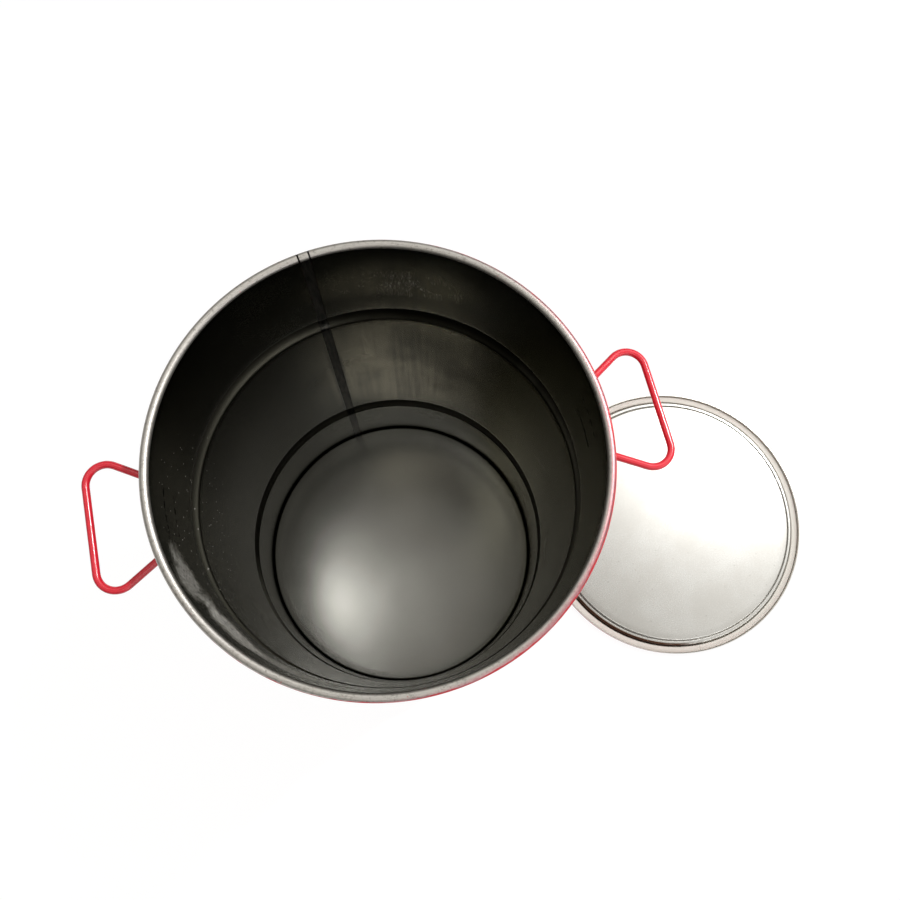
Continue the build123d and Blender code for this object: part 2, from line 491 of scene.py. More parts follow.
    def hoops(self, tree: Nodes, place: bpy.types.NodeSocket) -> Node:
        """Mask the hoops, where the roller has stretched and dulled the sheet."""
        height = add_node(tree, "ShaderNodeSeparateXYZ", {0: place}).outputs["Z"]
        half = GAUGE.hoop_width / 2 * MM
        away = [apart_from(tree, height, middle * MM) for middle in GAUGE.hoop_heights]
        return either(tree, *(step_up(tree, off, 1.15 * half, 0.7 * half) for off in away))

    def chalk(self, tree: Nodes, place: bpy.types.NodeSocket, clouds: Node) -> Node:
        """Mask what shows pale: scuffs at the front left, slid marks at the back, and dust.

        Args:
            tree: Node tree that takes the nodes.
            place: Object coordinates, in metres.
            clouds: Pattern that breaks the edges of the wide patches.

        Returns:
            Mask of the pale marks.
        """
        fine = noise(tree, place, self.fine_size, 7.0, 0.8)
        haze = noise(tree, place, self.haze_size, 4.0, 0.6)
        slid = scratches(tree, place, (12, 84, 0), self.slid_length, 0.55)
        surface = add_node(tree, "ShaderNodeUVMap", uv_map="surface")
        dust = specks(tree, surface, self.dust_spacing, self.dust_size, 0.35)
        total = both(tree, slid, self.slid.mask(tree, place, clouds))
        total = either(tree, total, both(tree, dust, self.dusty.mask(tree, place, clouds)))
        for area in self.scuffs:
            worn = step_up(tree, fine, 0.3, 0.62, area.strength)
            total = either(tree, total, both(tree, area.mask(tree, place, haze), worn))
        return total


@dataclass(frozen=True)
class DiscSteel(Finish):
    """Cold-rolled sheet of the bottom, bare and oiled, drawn in a press.

    The eye sees a lighter, more even satin metal than the wall, with tiny dark specks.
    """

    dark: str = "979690"
    light: str = "a1a09a"
    speck: str = "2a2825"
    scratch: str = "5c5850"
    roughness: float = 0.23
    cloud_size: float = 140.0
    speck_spacing: float = 44.0
    speck_size: float = 2.2
    scratch_length: float = 30.0
    grain_size: float = 0.8
    grain_depth: float = 0.01

    def lay_out(self, tree: Nodes, place: bpy.types.NodeSocket) -> None:
        """Add the finish's own nodes."""
        clouds = noise(tree, place, self.cloud_size, 4.0, 0.55)
        metal = shade_over(tree, step_up(tree, clouds, 0.35, 0.7), self.dark, self.light)
        dots = specks(tree, place, self.speck_spacing, self.speck_size, 0.5)
        metal = shade_over(tree, dots, metal, self.speck)
        lines = scratches(tree, place, (90, 0, 40), self.scratch_length, 0.36)
        metal = shade_over(tree, lines, metal, self.scratch)
        grain = noise(tree, place, self.grain_size, 4.0, 0.7)
        gloss = weighted(tree, (clouds, 0.1), (grain, 0.1))
        gloss = maths(tree, "ADD", gloss, self.roughness - 0.1)
        finish_material(
            tree, grain, self.grain_depth, Base_Color=metal, Metallic=1.0, Roughness=gloss
        )


@dataclass(frozen=True)
class RimSteel(Finish):
    """Rolled sheet edge, rubbed bright by lids and rings, with the red lacquer worn off its top.

    The eye sees bright satin metal with a red outer edge, a red haze of overspray that is
    strongest on one side, and two dark lines where the side seam crosses.

    Attributes:
        paint_edge: Lean of the paint's edge round the curl, in degrees from its top.
        sprayed_side: Direction that the overspray came from.
        edge_pull: How the two wandering patterns and the sprayed side shift the paint's edge.
        mist_pull: How the mist, the long wander and the sprayed side shift the overspray.
    """

    metal: str = "c0bcb6"
    dirt: str = "77716a"
    paint: str = "c2202c"
    haze: str = "b9747c"
    shadow: str = "1c1b1a"
    paint_edge: float = 57.0
    sprayed_side: tuple[float, float, float] = (0.94, -0.34, 0.0)
    edge_pull: tuple[float, float, float] = (1.9, 0.4, 2.0)
    mist_pull: tuple[float, float, float] = (1.6, 1.0, 7.0)
    wander_size: float = 22.0
    long_wander_size: float = 160.0
    mist_size: float = 1.6
    dirt_size: float = 3.0
    fleck_size: float = 2.6
    grain_size: float = 0.9
    relief_depth: float = 0.03
    roughness: float = 0.48

    def lay_out(self, tree: Nodes, place: bpy.types.NodeSocket) -> None:
        """Add the finish's own nodes."""
        axes = add_node(tree, "ShaderNodeSeparateXYZ", {0: place}).outputs
        flat = add_node(tree, "ShaderNodeCombineXYZ", {0: axes["X"], 1: axes["Y"], 2: 0.0})
        radius = add_node(tree, "ShaderNodeVectorMath", {0: flat}, operation="LENGTH")
        curl_centre = GAUGE.inner_radius + GAUGE.curl_radius
        out = maths(tree, "SUBTRACT", radius.outputs["Value"], curl_centre * MM)
        up = maths(tree, "SUBTRACT", axes["Z"], GAUGE.curl_height * MM)
        lean = maths(tree, "ARCTAN2", out, up)
        wander = noise(tree, place, self.wander_size, 5.0, 0.7)
        long_wander = noise(tree, place, self.long_wander_size, 1.0)
        mist = noise(tree, place, self.mist_size, 5.0, 0.8)
        side = toward(tree, place, self.sprayed_side)
        edge = weighted(tree, (lean, 1.0), *zip((wander, long_wander, side), self.edge_pull))
        drift = weighted(tree, (lean, 1.0), *zip((mist, long_wander, side), self.mist_pull))
        limit = math.radians(self.paint_edge) + 1.2
        painted = step_up(tree, edge, limit - 0.03, limit + 0.03)
        overspray = step_up(tree, drift, limit - 0.35, limit + 0.85, 0.85)
        dirt = step_up(tree, noise(tree, place, self.dirt_size, 4.0, 0.7), 0.5, 0.75, 0.7)
        flecks = step_up(tree, noise(tree, place, self.fleck_size, 4.0, 0.7), 0.66, 0.7)
        flecks = both(tree, flecks, step_up(tree, long_wander, 0.5, 0.6))
        painted = either(tree, painted, flecks)
        colour = shade_over(tree, dirt, self.metal, self.dirt)
        colour = shade_over(tree, overspray, colour, self.haze)
        colour = shade_over(tree, painted, colour, self.paint)
        colour = shade_over(tree, self.seam_lines(tree, place), colour, self.shadow)
        grain = noise(tree, place, self.grain_size, 4.0, 0.7)
        finish_material(
            tree,
            weighted(tree, (grain, 0.4), (painted, 1.0)),
            self.relief_depth,
            Base_Color=colour,
            Metallic=step_up(tree, painted, 1.0, 0.0),
            Roughness=self.roughness,
        )

    def seam_lines(self, tree: Nodes, place: bpy.types.NodeSocket) -> Node:
        """Mask the two open lines where the side seam crosses the curl."""
        turn = math.radians(GAUGE.seam_direction)
        across = toward(tree, place, (-math.sin(turn), math.cos(turn), 0.0))
        ahead = toward(tree, place, (math.cos(turn), math.sin(turn), 0.0))
        off = apart_from(tree, maths(tree, "ABSOLUTE", across), GAUGE.seam_width / 2 * MM)
        near = step_up(tree, ahead, 0.0, GAUGE.inner_radius / 2 * MM)
        return both(tree, near, step_up(tree, off, 1.1 * MM, 0.5 * MM))


@dataclass(frozen=True)
class GlossLacquer(Finish):
    """Stoving enamel, sprayed and baked on steel.

    The eye sees a deep even colour under a gloss with slight orange peel, and small chips.
    """

    colour: str = "bf1f2b"
    deep: str = "b71d28"
    bare: str = "8f8a82"
    roughness: float = 0.27
    cloud_size: float = 45.0
    peel_size: float = 2.2
    peel_depth: float = 0.03
    chip_spacing: float = 17.0
    chip_size: float = 1.6
    chip_share: float = 0.1

    def lay_out(self, tree: Nodes, place: bpy.types.NodeSocket) -> None:
        """Add the finish's own nodes."""
        clouds = noise(tree, place, self.cloud_size, 3.0)
        colour = shade_over(tree, step_up(tree, clouds, 0.35, 0.7), self.deep, self.colour)
        chips = specks(tree, place, self.chip_spacing, self.chip_size, self.chip_share)
        peel = noise(tree, place, self.peel_size, 1.0)
        finish_material(
            tree,
            weighted(tree, (peel, 1.0), (chips, -1.5)),
            self.peel_depth,
            Base_Color=shade_over(tree, chips, colour, self.bare),
            Roughness=self.roughness,
            Coat_Weight=0.3,
            Coat_Roughness=0.08,
        )


@dataclass(frozen=True)
class WeldSteel(Finish):
    """Steel that a resistance weld has heated, left as it came from the wheel.

    The eye sees a dark blue-grey satin band, mottled across its width.
    """

    dark: str = "2b2b2b"
    light: str = "57554f"
    roughness: float = 0.42
    mottle_size: float = 3.0
    mottle_share: float = 0.12
    grain_size: float = 0.8
    grain_depth: float = 0.03

    def lay_out(self, tree: Nodes, place: bpy.types.NodeSocket) -> None:
        """Add the finish's own nodes."""
        drawn = drawn_out(tree, place, self.mottle_share)
        mottle = noise(tree, drawn, self.mottle_size, 5.0, 0.65)
        finish_material(
            tree,
            noise(tree, place, self.grain_size, 4.0, 0.7),
            self.grain_depth,
            Base_Color=shade_over(tree, step_up(tree, mottle, 0.35, 0.7), self.dark, self.light),
            Metallic=1.0,
            Roughness=self.roughness,
        )


@dataclass(frozen=True)
class LidSteel(Finish):
    """Bright cold-rolled sheet, bare, pressed.

    The eye sees a pale silver mirror made soft by a fine grain, with faint pin-head spots. Along one
    stretch of the corner between its panel and its wall lies a brown ring, a painted reflection of
    the red drum.

    Attributes:
        reflection_azimuth: Direction of the ring's painted reflection from the lid's middle.
        reflection_inset: How far inside the wall the ring lies, and half its width.
        reflection_reach: Half sizes of the stretch, outwards, around and up.
    """

    pale: str = "dcdbd7"
    dull: str = "d6d4cf"
    spot: str = "a8a6a0"
    # Brown of the ring in the corner, a painted reflection of the red drum.
    soil: str = "55392b"
    roughness: float = 0.27
    cloud_size: float = 70.0
    spot_spacing: float = 21.0
    spot_size: float = 1.6
    grain_size: float = 0.9
    grain_depth: float = 0.006
    reflection_azimuth: float = -128.0
    reflection_inset: float = 2.2
    reflection_reach: tuple[float, float, float] = (90.0, 170.0, 60.0)
    reflection_ragged: float = 20.0

    def lay_out(self, tree: Nodes, place: bpy.types.NodeSocket) -> None:
        """Add the finish's own nodes."""
        clouds = noise(tree, place, self.cloud_size, 4.0, 0.6)
        metal = shade_over(tree, step_up(tree, clouds, 0.35, 0.7), self.dull, self.pale)
        dots = specks(tree, place, self.spot_spacing, self.spot_size, 0.3)
        metal = shade_over(tree, dots, metal, self.spot)
        # Painted reflection of the red drum, laid as a brown ring in the corner.
        metal = shade_over(tree, self.reflection_ring(tree, place), metal, self.soil)
        grain = noise(tree, place, self.grain_size, 4.0, 0.7)
        gloss = weighted(tree, (clouds, 0.02), (grain, 0.05))
        gloss = maths(tree, "ADD", gloss, self.roughness - 0.035)
        finish_material(
            tree, grain, self.grain_depth, Base_Color=metal, Metallic=1.0, Roughness=gloss
        )

    def reflection_ring(self, tree: Nodes, place: bpy.types.NodeSocket) -> Node:
        """Mask the stretch of the ring that carries the painted reflection of the red drum."""
        lid, turn = Lid(), math.radians(self.reflection_azimuth)
        middle = Vector((*lid.centre, lid.ledge_height / 2))
        corner = middle + Vector((math.cos(turn), math.sin(turn), 0.0)) * lid.wall_radius
        ragged = noise(tree, place, self.reflection_ragged, 3.0)
        reach = Vector(self.reflection_reach)
        reflected_stretch = patch(tree, place, corner, self.reflection_azimuth, reach, ragged)
        parts = {0: place, 1: middle * MM}
        far = add_node(tree, "ShaderNodeVectorMath", parts, operation="DISTANCE")
        off = apart_from(tree, far.outputs["Value"], (lid.wall_radius - self.reflection_inset) * MM)
        ring = step_up(tree, off, self.reflection_inset * MM, 0.8 * self.reflection_inset * MM)
        return both(tree, ring, reflected_stretch)


@dataclass(frozen=True)
class GasketRubber(Finish):
    """Cream rubber strip, extruded and cut to length.

    The eye sees a matt pale band, slightly soiled in places.
    """

    cream: str = "f3f0e9"
    soiled: str = "efeae1"
    soil_size: float = 14.0
    pore_size: float = 0.8
    pore_depth: float = 0.05
    roughness: float = 0.75

    def lay_out(self, tree: Nodes, place: bpy.types.NodeSocket) -> None:
        """Add the finish's own nodes."""
        soil = step_up(tree, noise(tree, place, self.soil_size, 5.0, 0.7), 0.5, 0.85, 0.7)
        colour = shade_over(tree, soil, self.cream, self.soiled)
        pores = noise(tree, place, self.pore_size, 3.0, 0.7)
        finish_material(
            tree, pores, self.pore_depth, Base_Color=colour, Roughness=self.roughness
        )


@dataclass(frozen=True)
class SealantRubber(Finish):
    """Dried sealing compound in the chime, grey-brown and matt."""

    colour: str = "6a665c"
    dark: str = "4b4840"
    lump_size: float = 1.5
    lump_depth: float = 0.1
    roughness: float = 0.8

    def lay_out(self, tree: Nodes, place: bpy.types.NodeSocket) -> None:
        """Add the finish's own nodes."""
        lumps = noise(tree, place, self.lump_size, 4.0, 0.7)
        colour = shade_over(tree, lumps, self.colour, self.dark)
        finish_material(
            tree, lumps, self.lump_depth, Base_Color=colour, Roughness=self.roughness
        )


WALL_STEEL = RolledSteel("oiled cold-rolled wall sheet")
DISC_STEEL = DiscSteel("oiled cold-rolled bottom sheet")
RIM_STEEL = RimSteel("rubbed rim steel with worn lacquer")
LACQUER = GlossLacquer("red stoving enamel")
HANDLE_LACQUER = GlossLacquer("red handle enamel", colour="cf2233", deep="c71f30", chip_share=0.05)
SEAM_STEEL = WeldSteel("heat-tinted seam steel")
SPOT_STEEL = WeldSteel("burnt spot-weld steel", dark="0b0a09", light="1d1b19", roughness=0.6)
LID_STEEL = LidSteel("bright pressed lid sheet")
GASKET_RUBBER = GasketRubber("cream gasket rubber")
SEALANT = SealantRubber("dried sealing compound")


@dataclass
class Section:
    """The section of a bent sheet, as two faces with matching points.

    Attributes:
        face: Points of the traced face, as (radius, height).
        back: The points opposite them, on the sheet's other face.
        run: Distance of each point along the traced face.
        marks: Number of points at the end of each move.
    """

    face: np.ndarray
    back: np.ndarray
    run: np.ndarray
    marks: list[int]

    @property
    def out(self) -> np.ndarray:
        """Unit directions from the back to the face."""
        across = self.face - self.back
        return across / np.linalg.norm(across, axis=1, keepdims=True)


def bend_sheet(
    start: tuple[float, float],
    heading: float,
    moves: Sequence[Move],
    sheet: float,
    straight_step: float = 9.0,
    bend_step: float = 10.0,
) -> Section:
    """Trace a sheet's section through straight lengths and bends.

    Args:
        start: First point of the traced face, as (radius, height).
        heading: First direction, in degrees from outwards towards up.
        moves: Straight lengths, and bends as (radius, turn) with left turns positive.
        sheet: Sheet thickness, on the right-hand side of the traced face.
        straight_step: Longest step along a straight length.
        bend_step: Longest step in a bend, in degrees.

    Returns:
        The section.
    """
    point, angle, distance = np.array(start, float), heading, 0.0
    face, sides, run, marks = [point], [heading], [0.0], []

    def left(direction: float) -> np.ndarray:
        turned = math.radians(direction)
        return np.array((-math.sin(turned), math.cos(turned)))

    for move in moves:
        if isinstance(move, tuple):
            radius, turn = move
            centre = point + math.copysign(radius, turn) * left(angle)
            count = math.ceil(abs(turn) / bend_step)
            for part in range(1, count + 1):
                aim = angle + turn * part / count
                face.append(centre - math.copysign(radius, turn) * left(aim))
                sides.append(aim)
                run.append(distance + math.radians(abs(turn)) * radius * part / count)
            angle += turn
        else:
            count = max(1, math.ceil(move / straight_step))
            ahead = -left(angle + 90)
            for part in range(1, count + 1):
                face.append(point + ahead * move * part / count)
                sides.append(angle)
                run.append(distance + move * part / count)
        point, distance = face[-1], run[-1]
        marks.append(len(face) - 1)
    traced = np.array(face)
    return Section(traced, traced - sheet * np.array([left(s) for s in sides]), np.array(run), marks)


def new_piece(name: str, mesh: bpy.types.Mesh, finishes: Sequence[Finish]) -> bpy.types.Object:
    """Make an object of a finished mesh, smooth but for its real edges.

    Args:
        name: Name of the piece.
        mesh: Mesh in metres.
        finishes: Finishes by material number.

    Returns:
        The object, at the origin.
    """
    for finish in finishes:
        mesh.materials.append(finish.material())
    mesh.shade_smooth()
    mesh.set_sharp_from_angle(angle=SHARP_EDGE)
    return new_object(name, mesh)


def revolve_sheet(
    name: str,
    section: Section,
    finishes: Sequence[Finish],
    face_coat: Sequence[int],
    back_coat: Sequence[int],
    turn: tuple[float, float] = (0.0, 360.0),
    segments: int = 288,
    centre: tuple[float, float] = (0.0, 0.0),
    bend: Relief | None = None,
    swell: Relief | None = None,
) -> bpy.types.Object:
    """Turn a sheet's section round an upright axis.

    Args:
        name: Name of the piece.
        section: Section to turn.
        finishes: Finishes by number.
        face_coat: Finish number of each span of the traced face.
        back_coat: Finish number of each span of the other face.
        turn: First and last angle. A full turn is closed on itself.
        segments: Number of steps round the turn.
        centre: Axis, in x and y.
        bend: Shift of the sheet along its radius, from angle and height.
        swell: Growth of both faces, from angle and distance along the face.

    Returns:
        The piece, with a surface map in metres, around and along the section.
    """
    full = abs(turn[1] - turn[0]) >= 360
    angles = np.radians(np.linspace(*turn, segments + 1))
    rows = segments if full else segments + 1
    count = len(section.run)
    face = np.repeat(section.face[None], rows, 0)
    back = np.repeat(section.back[None], rows, 0)
    if swell is not None:
        grown = swell(angles[:rows, None], section.run[None, :])[..., None]
        face = face + section.out * grown
        back = back - section.out * grown
    if bend is not None:
        shift = bend(angles[:rows, None], section.face[None, :, 1])
        face[..., 0] += shift
        back[..., 0] += shift
    loop = np.concatenate([face, back[:, ::-1]], 1)
    around = angles[:rows, None]
    points = np.stack(
        [
            centre[0] + loop[..., 0] * np.cos(around),
            centre[1] + loop[..., 0] * np.sin(around),
            loop[..., 1],
        ],
        -1,
    )
    spans = 2 * count
    j, i = np.meshgrid(np.arange(segments), np.arange(spans), indexing="ij")
    after, ahead = (j + 1) % rows, (i + 1) % spans
    quads = np.stack([j * spans + i, j * spans + ahead, after * spans + ahead, after * spans + i], -1)
    coats = np.array([*face_coat, face_coat[-1], *back_coat[::-1], face_coat[0]])
    faces = [quads.reshape(-1, 4)]
    numbers = [np.broadcast_to(coats[i], i.shape).ravel()]
    runs = np.concatenate([section.run, section.run[::-1]])
    radius = section.face[:, 0].max()
    u = np.stack([angles[j], angles[j], angles[j + 1], angles[j + 1]], -1) * radius
    v = np.stack([runs[i], runs[ahead], runs[ahead], runs[i]], -1)
    maps = [np.stack([u, v], -1).reshape(-1, 4, 2)]
    if not full:
        k = np.arange(count - 1)
        low = np.stack([k, spans - 1 - k, spans - 2 - k, k + 1], -1)
        high = np.stack([k, k + 1, spans - 2 - k, spans - 1 - k], -1) + segments * spans
        flat = np.stack([section.run[k], section.run[k], section.run[k + 1], section.run[k + 1]], -1)
        for cap in (low, high):
            faces.append(cap)
            numbers.append(np.array(back_coat))
            maps.append(np.stack([np.zeros_like(flat), flat], -1))
    mesh = bpy.data.meshes.new(name)
    mesh.from_pydata(points.reshape(-1, 3) * MM, [], np.concatenate(faces))
    surface = mesh.uv_layers.new(name="surface")
    surface.data.foreach_set("uv", (np.concatenate(maps) * MM).ravel())
    mesh.polygons.foreach_set("material_index", np.concatenate(numbers).astype(np.int32))
    if section.face[0, 0] < MM:
        work = bmesh.new()
        work.from_mesh(mesh)
        bmesh.ops.remove_doubles(work, verts=work.verts, dist=1e-7)
        work.to_mesh(mesh)
        work.free()
    return new_piece(name, mesh, finishes)


@dataclass(frozen=True)
class Gauge:
    """The drum's shared sizes."""

    inner_radius: float = 190.0
    sheet: float = 1.0
    height: float = 580.0
    curl_radius: float = 4.0
    curl_turn: float = 310.0
    hoop_heights: tuple[float, float] = (135.0, 436.0)
    hoop_width: float = 30.0
    hoop_depth: float = 7.0
    hoop_shoulder: float = 5.0
    seam_direction: float = 98.0
    seam_width: float = 10.0
    panel_height: float = 16.5
    body_hook_height: float = 10.5
    chime_gap: float = 0.1
    foot_wear: float = 0.15
    pivot_height: float = 523.0
    pivot_radius: float = 195.0
    handle_direction: float = 1.3

    @property
    def outer_radius(self) -> float:
        """Radius of the wall's outer face."""
        return self.inner_radius + self.sheet

    @property
    def curl_height(self) -> float:
        """Height of the curl's middle."""
        return self.height - self.curl_radius

    @property
    def chime_turn(self) -> float:
        """Radius of the body's turn round the head's hook."""
        return (3 * self.sheet + 2 * self.chime_gap) / 2

    @property
    def chime_height(self) -> float:
        """Height of the middle of the chime's turn."""
        return self.sheet + self.chime_gap + self.chime_turn - self.foot_wear

    @property
    def seam_angle(self) -> float:
        """Angle that the side seam takes, in degrees."""
        return math.degrees(self.seam_width / self.inner_radius)

    def body_section(self) -> Section:
        """Trace the body: hook, chime, wall with its hoops, and curl.

        Returns:
            The section, whose last move is the curl.
        """
        half = self.hoop_width / 2
        arc = 2 * math.degrees(math.atan(self.hoop_depth / half))
        crown = half / math.sin(math.radians(arc)) - self.hoop_shoulder
        moves: list[Move] = [
            self.body_hook_height - self.chime_height,
            (self.chime_turn, -180.0),
        ]
        height = self.chime_height
        for hoop in self.hoop_heights:
            moves += [hoop - half - height, (self.hoop_shoulder, -arc), (crown, 2 * arc)]
            moves.append((self.hoop_shoulder, -arc))
            height = hoop + half
        moves += [self.curl_height - height, (self.curl_radius, -self.curl_turn)]
        hook_radius = self.inner_radius + 2 * self.chime_turn
        return bend_sheet((hook_radius, self.body_hook_height), -90.0, moves, self.sheet)


GAUGE = Gauge()


class Coat(Enum):
    """Finish numbers on the body sheet."""

    BARE = 0
    LACQUER = 1
    RIM = 2


@dataclass
class Body:
    """The rolled body sheet, with its rim, and the weld that closes it.

    Attributes:
        rim_turn: How far round the curl the rubbed rim reaches, in degrees.
        dents: Shallow dents, as (azimuth, height, half width, depth).
        seam_groove: Depth of the lines along both sides of the weld.
        seam_bead: Rise of the weld's middle.
        rim_groove: Depth of the same lines on the chime and the curl.
        bead_edge: Share of the weld's half width where the lines start.
        bead_step: Length over which the weld's roughness is one value.
        bead_rough: Roughness across the weld and of its whole width.
        bead_ends: Lengths of the section at its start and end that have no bead.
        waves: Waves of the wall, as (depth, number round the drum, height per radian).
        calm_foot: Heights between which the waves set in.
        calm_curl: Height over which they fade out below the curl.
    """

    gauge: Gauge = GAUGE
    rim_turn: float = 200.0
    dents: tuple[tuple[float, float, float, float], ...] = (
        (25.0, 300.0, 60.0, 0.35),
        (-60.0, 210.0, 80.0, 0.3),
        (150.0, 330.0, 70.0, 0.35),
        (205.0, 515.0, 40.0, 0.2),
        (70.0, 495.0, 45.0, 0.2),
        (120.0, 90.0, 60.0, 0.25),
    )
    seam_groove: float = 0.22
    seam_bead: float = 0.12
    rim_groove: float = 0.45
    bead_edge: float = 0.8
    bead_step: float = 4.0
    bead_rough: tuple[float, float] = (0.02, 0.015)
    bead_ends: tuple[float, float] = (45.0, 25.0)
    waves: tuple[tuple[float, int, float], ...] = ((0.06, 5, 90.0), (0.05, 9, -60.0))
    calm_foot: tuple[float, float] = (25.0, 55.0)
    calm_curl: float = 12.0

    def waviness(self, angle: np.ndarray, height: np.ndarray) -> np.ndarray:
        """Return the slight inward waves of the rolled wall, nil at its chime and its curl."""
        ripple = 0.0
        for depth, count, pitch in self.waves:
            ripple = ripple + depth * (1 + np.sin(count * angle + height / pitch))
        for azimuth, middle, reach, depth in self.dents:
            apart = (angle - math.radians(azimuth) + math.pi) % (2 * math.pi) - math.pi
            far = (apart * self.gauge.inner_radius / reach) ** 2 + ((height - middle) / reach) ** 2
            ripple = ripple + depth * np.exp(-far)
        low = np.interp(height, self.calm_foot, (0.0, 1.0))
        high = np.clip((self.gauge.curl_height - height) / self.calm_curl, 0, 1)
        return -ripple * low * high

    def coats(self, section: Section) -> tuple[list[int], list[int]]:
        """Give each span of the sheet its finish.

        Args:
            section: Section of the body, whose last move is the curl.

        Returns:
            Finish numbers of the inside and the outside.
        """
        spans = len(section.run) - 1
        curl_start = section.marks[-2]
        rim_end = curl_start + (spans - curl_start) * self.rim_turn / self.gauge.curl_turn
        inside = [
            (Coat.BARE if k < curl_start else Coat.RIM if k < rim_end else Coat.LACQUER).value
            for k in range(spans)
        ]
        return inside, [Coat.LACQUER.value] * spans

    def build(self) -> list[bpy.types.Object]:
        """Build the body shell and the side seam.

        Returns:
            The two pieces.
        """
        section = self.gauge.body_section()
        inside, outside = self.coats(section)
        half = self.gauge.seam_angle / 2
        seam_start = self.gauge.seam_direction - half
        seam_end = self.gauge.seam_direction + half
        shell = revolve_sheet(
            "body_sheet",
            section,
            (WALL_STEEL, LACQUER, RIM_STEEL),
            inside,
            outside,
            turn=(seam_end, seam_start + 360),
            segments=288,
            bend=self.waviness,
        )
        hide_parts("body_shell")
        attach(shell, "drum")

        rng = np.random.default_rng(7)
        wobble = rng.normal(size=(3, 400))

        def bead(angle: np.ndarray, run: np.ndarray) -> np.ndarray:
            across = (angle - math.radians(self.gauge.seam_direction)) / math.radians(half)
            crown = np.sqrt(np.clip(1 - across**2, 0, 1))
            row = (run / self.bead_step).astype(int) % wobble.shape[1]
            ripples, level = self.bead_rough
            rough = ripples * wobble[0][row] * np.cos(across * 5) + level * wobble[1][row]
            edge = np.clip((np.abs(across) - self.bead_edge) / (1 - self.bead_edge), 0, 1)
            wall = (run > self.bead_ends[0]) & (run < run.max() - self.bead_ends[1])
            amount = self.seam_bead * crown + rough * (1 - edge) - self.seam_groove * edge
            return np.where(wall, amount, -self.rim_groove * edge)

        seam = revolve_sheet(
            "side_seam",
            section,
            (SEAM_STEEL, LACQUER, RIM_STEEL),
            inside,
            outside,
            turn=(seam_start, seam_end),
            segments=20,
            bend=self.waviness,
            swell=bead,
        )
        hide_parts("side_seam_weld")
        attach(seam, "drum")
        return [shell, seam]


@dataclass
class BottomHead:
    """The countersunk bottom disc, hooked round the body at the chime."""

    gauge: Gauge = GAUGE
    shoulder: float = 4.0
    cover_hook_height: float = 5.5

    def build(self) -> list[bpy.types.Object]:
        """Build the head.

        Returns:
            The one piece.
        """
        gauge = self.gauge
        wall = gauge.inner_radius - gauge.chime_gap
        turn_radius = gauge.chime_turn + gauge.chime_gap
        cover_turn = (gauge.sheet + 2 * gauge.chime_gap) / 2
        cover_height = gauge.body_hook_height + gauge.chime_gap
        moves: list[Move] = [
            wall - self.shoulder,
            (self.shoulder, -90.0),
            gauge.panel_height - self.shoulder - gauge.chime_height,
            (turn_radius, 180.0),
            cover_height - gauge.chime_height,
            (cover_turn, 180.0),
            cover_height - self.cover_hook_height,
        ]
        section = bend_sheet((0.0, gauge.panel_height), 0.0, moves, gauge.sheet)
        section.back[:, 1] = np.maximum(section.back[:, 1], 0.0)
        spans = len(section.run) - 1
        head = revolve_sheet(
            "bottom_disc", section, (DISC_STEEL, LACQUER), [0] * spans, [1] * spans
        )
        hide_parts("bottom_head")
        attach(head, "drum")
        return [head]


class HandSide(Enum):
    """The drum's two sides, by the sign of their x."""

    RIGHT = 1
    LEFT = -1

    @property
    def word(self) -> str:
        """Name of the side."""
        return self.name.lower()

    @property
    def azimuth(self) -> float:
        """Direction of the side's handle from the drum's axis, in radians."""
        turn = math.radians(GAUGE.handle_direction)
        return turn if self is HandSide.RIGHT else math.pi - turn

    def place(self, points: np.ndarray) -> np.ndarray:
        """Turn points from the X axis to the side's handle.

        Args:
            points: Points drawn for the right-hand side, in millimetres.

        Returns:
            The points in place, in metres.
        """
        turned = np.array(points, float)
        across, along = math.cos(self.azimuth), math.sin(self.azimuth)
        turned[:, 0] = points[:, 0] * across - points[:, 1] * along
        turned[:, 1] = points[:, 0] * along + points[:, 1] * across
        return turned * MM


def bake(source: bpy.types.Object, name: str) -> bpy.types.Object:
    """Turn an object with modifiers into a plain piece.

    Args:
        source: Object with modifiers. It is removed.
        name: Name of the piece.

    Returns:
        The piece, at the origin.
    """
    bpy.context.view_layer.update()
    evaluated = source.evaluated_get(bpy.context.evaluated_depsgraph_get())
    mesh = bpy.data.meshes.new_from_object(evaluated)
    bpy.data.objects.remove(source)
    mesh.name = name
    return new_object(name, mesh)


def run_nodes(
    source: bpy.types.Object, tree: bpy.types.NodeTree, values: dict[str, object], name: str
) -> bpy.types.Object:
    """Run a geometry node tree on an object and keep the result as a plain piece.

    Args:
        source: Object that the tree starts from. It is removed.
        tree: Geometry node tree.
        values: Values of the tree's inputs by their names.
        name: Name of the piece.

    Returns:
        The piece.
    """
    modifier = source.modifiers.new("build", "NODES")
    modifier.node_group = tree
    for item in tree.interface.items_tree:
        if item.in_out == "INPUT" and item.name in values:
            modifier[item.identifier] = values[item.name]
    return bake(source, name)


def new_geometry_tree(name: str, inputs: dict[str, str]) -> tuple[Nodes, Node]:
    """Start a geometry node tree.

    Args:
        name: Name of the tree.
        inputs: Socket kinds of its own inputs by their names.

    Returns:
        The tree and its input node.
    """
    tree = bpy.data.node_groups.new(name, "GeometryNodeTree")
    tree.interface.new_socket("Geometry", in_out="INPUT", socket_type="NodeSocketGeometry")
    tree.interface.new_socket("Geometry", in_out="OUTPUT", socket_type="NodeSocketGeometry")
    for socket_name, kind in inputs.items():
        tree.interface.new_socket(socket_name, in_out="INPUT", socket_type=kind)
    return tree, add_node(tree, "NodeGroupInput")


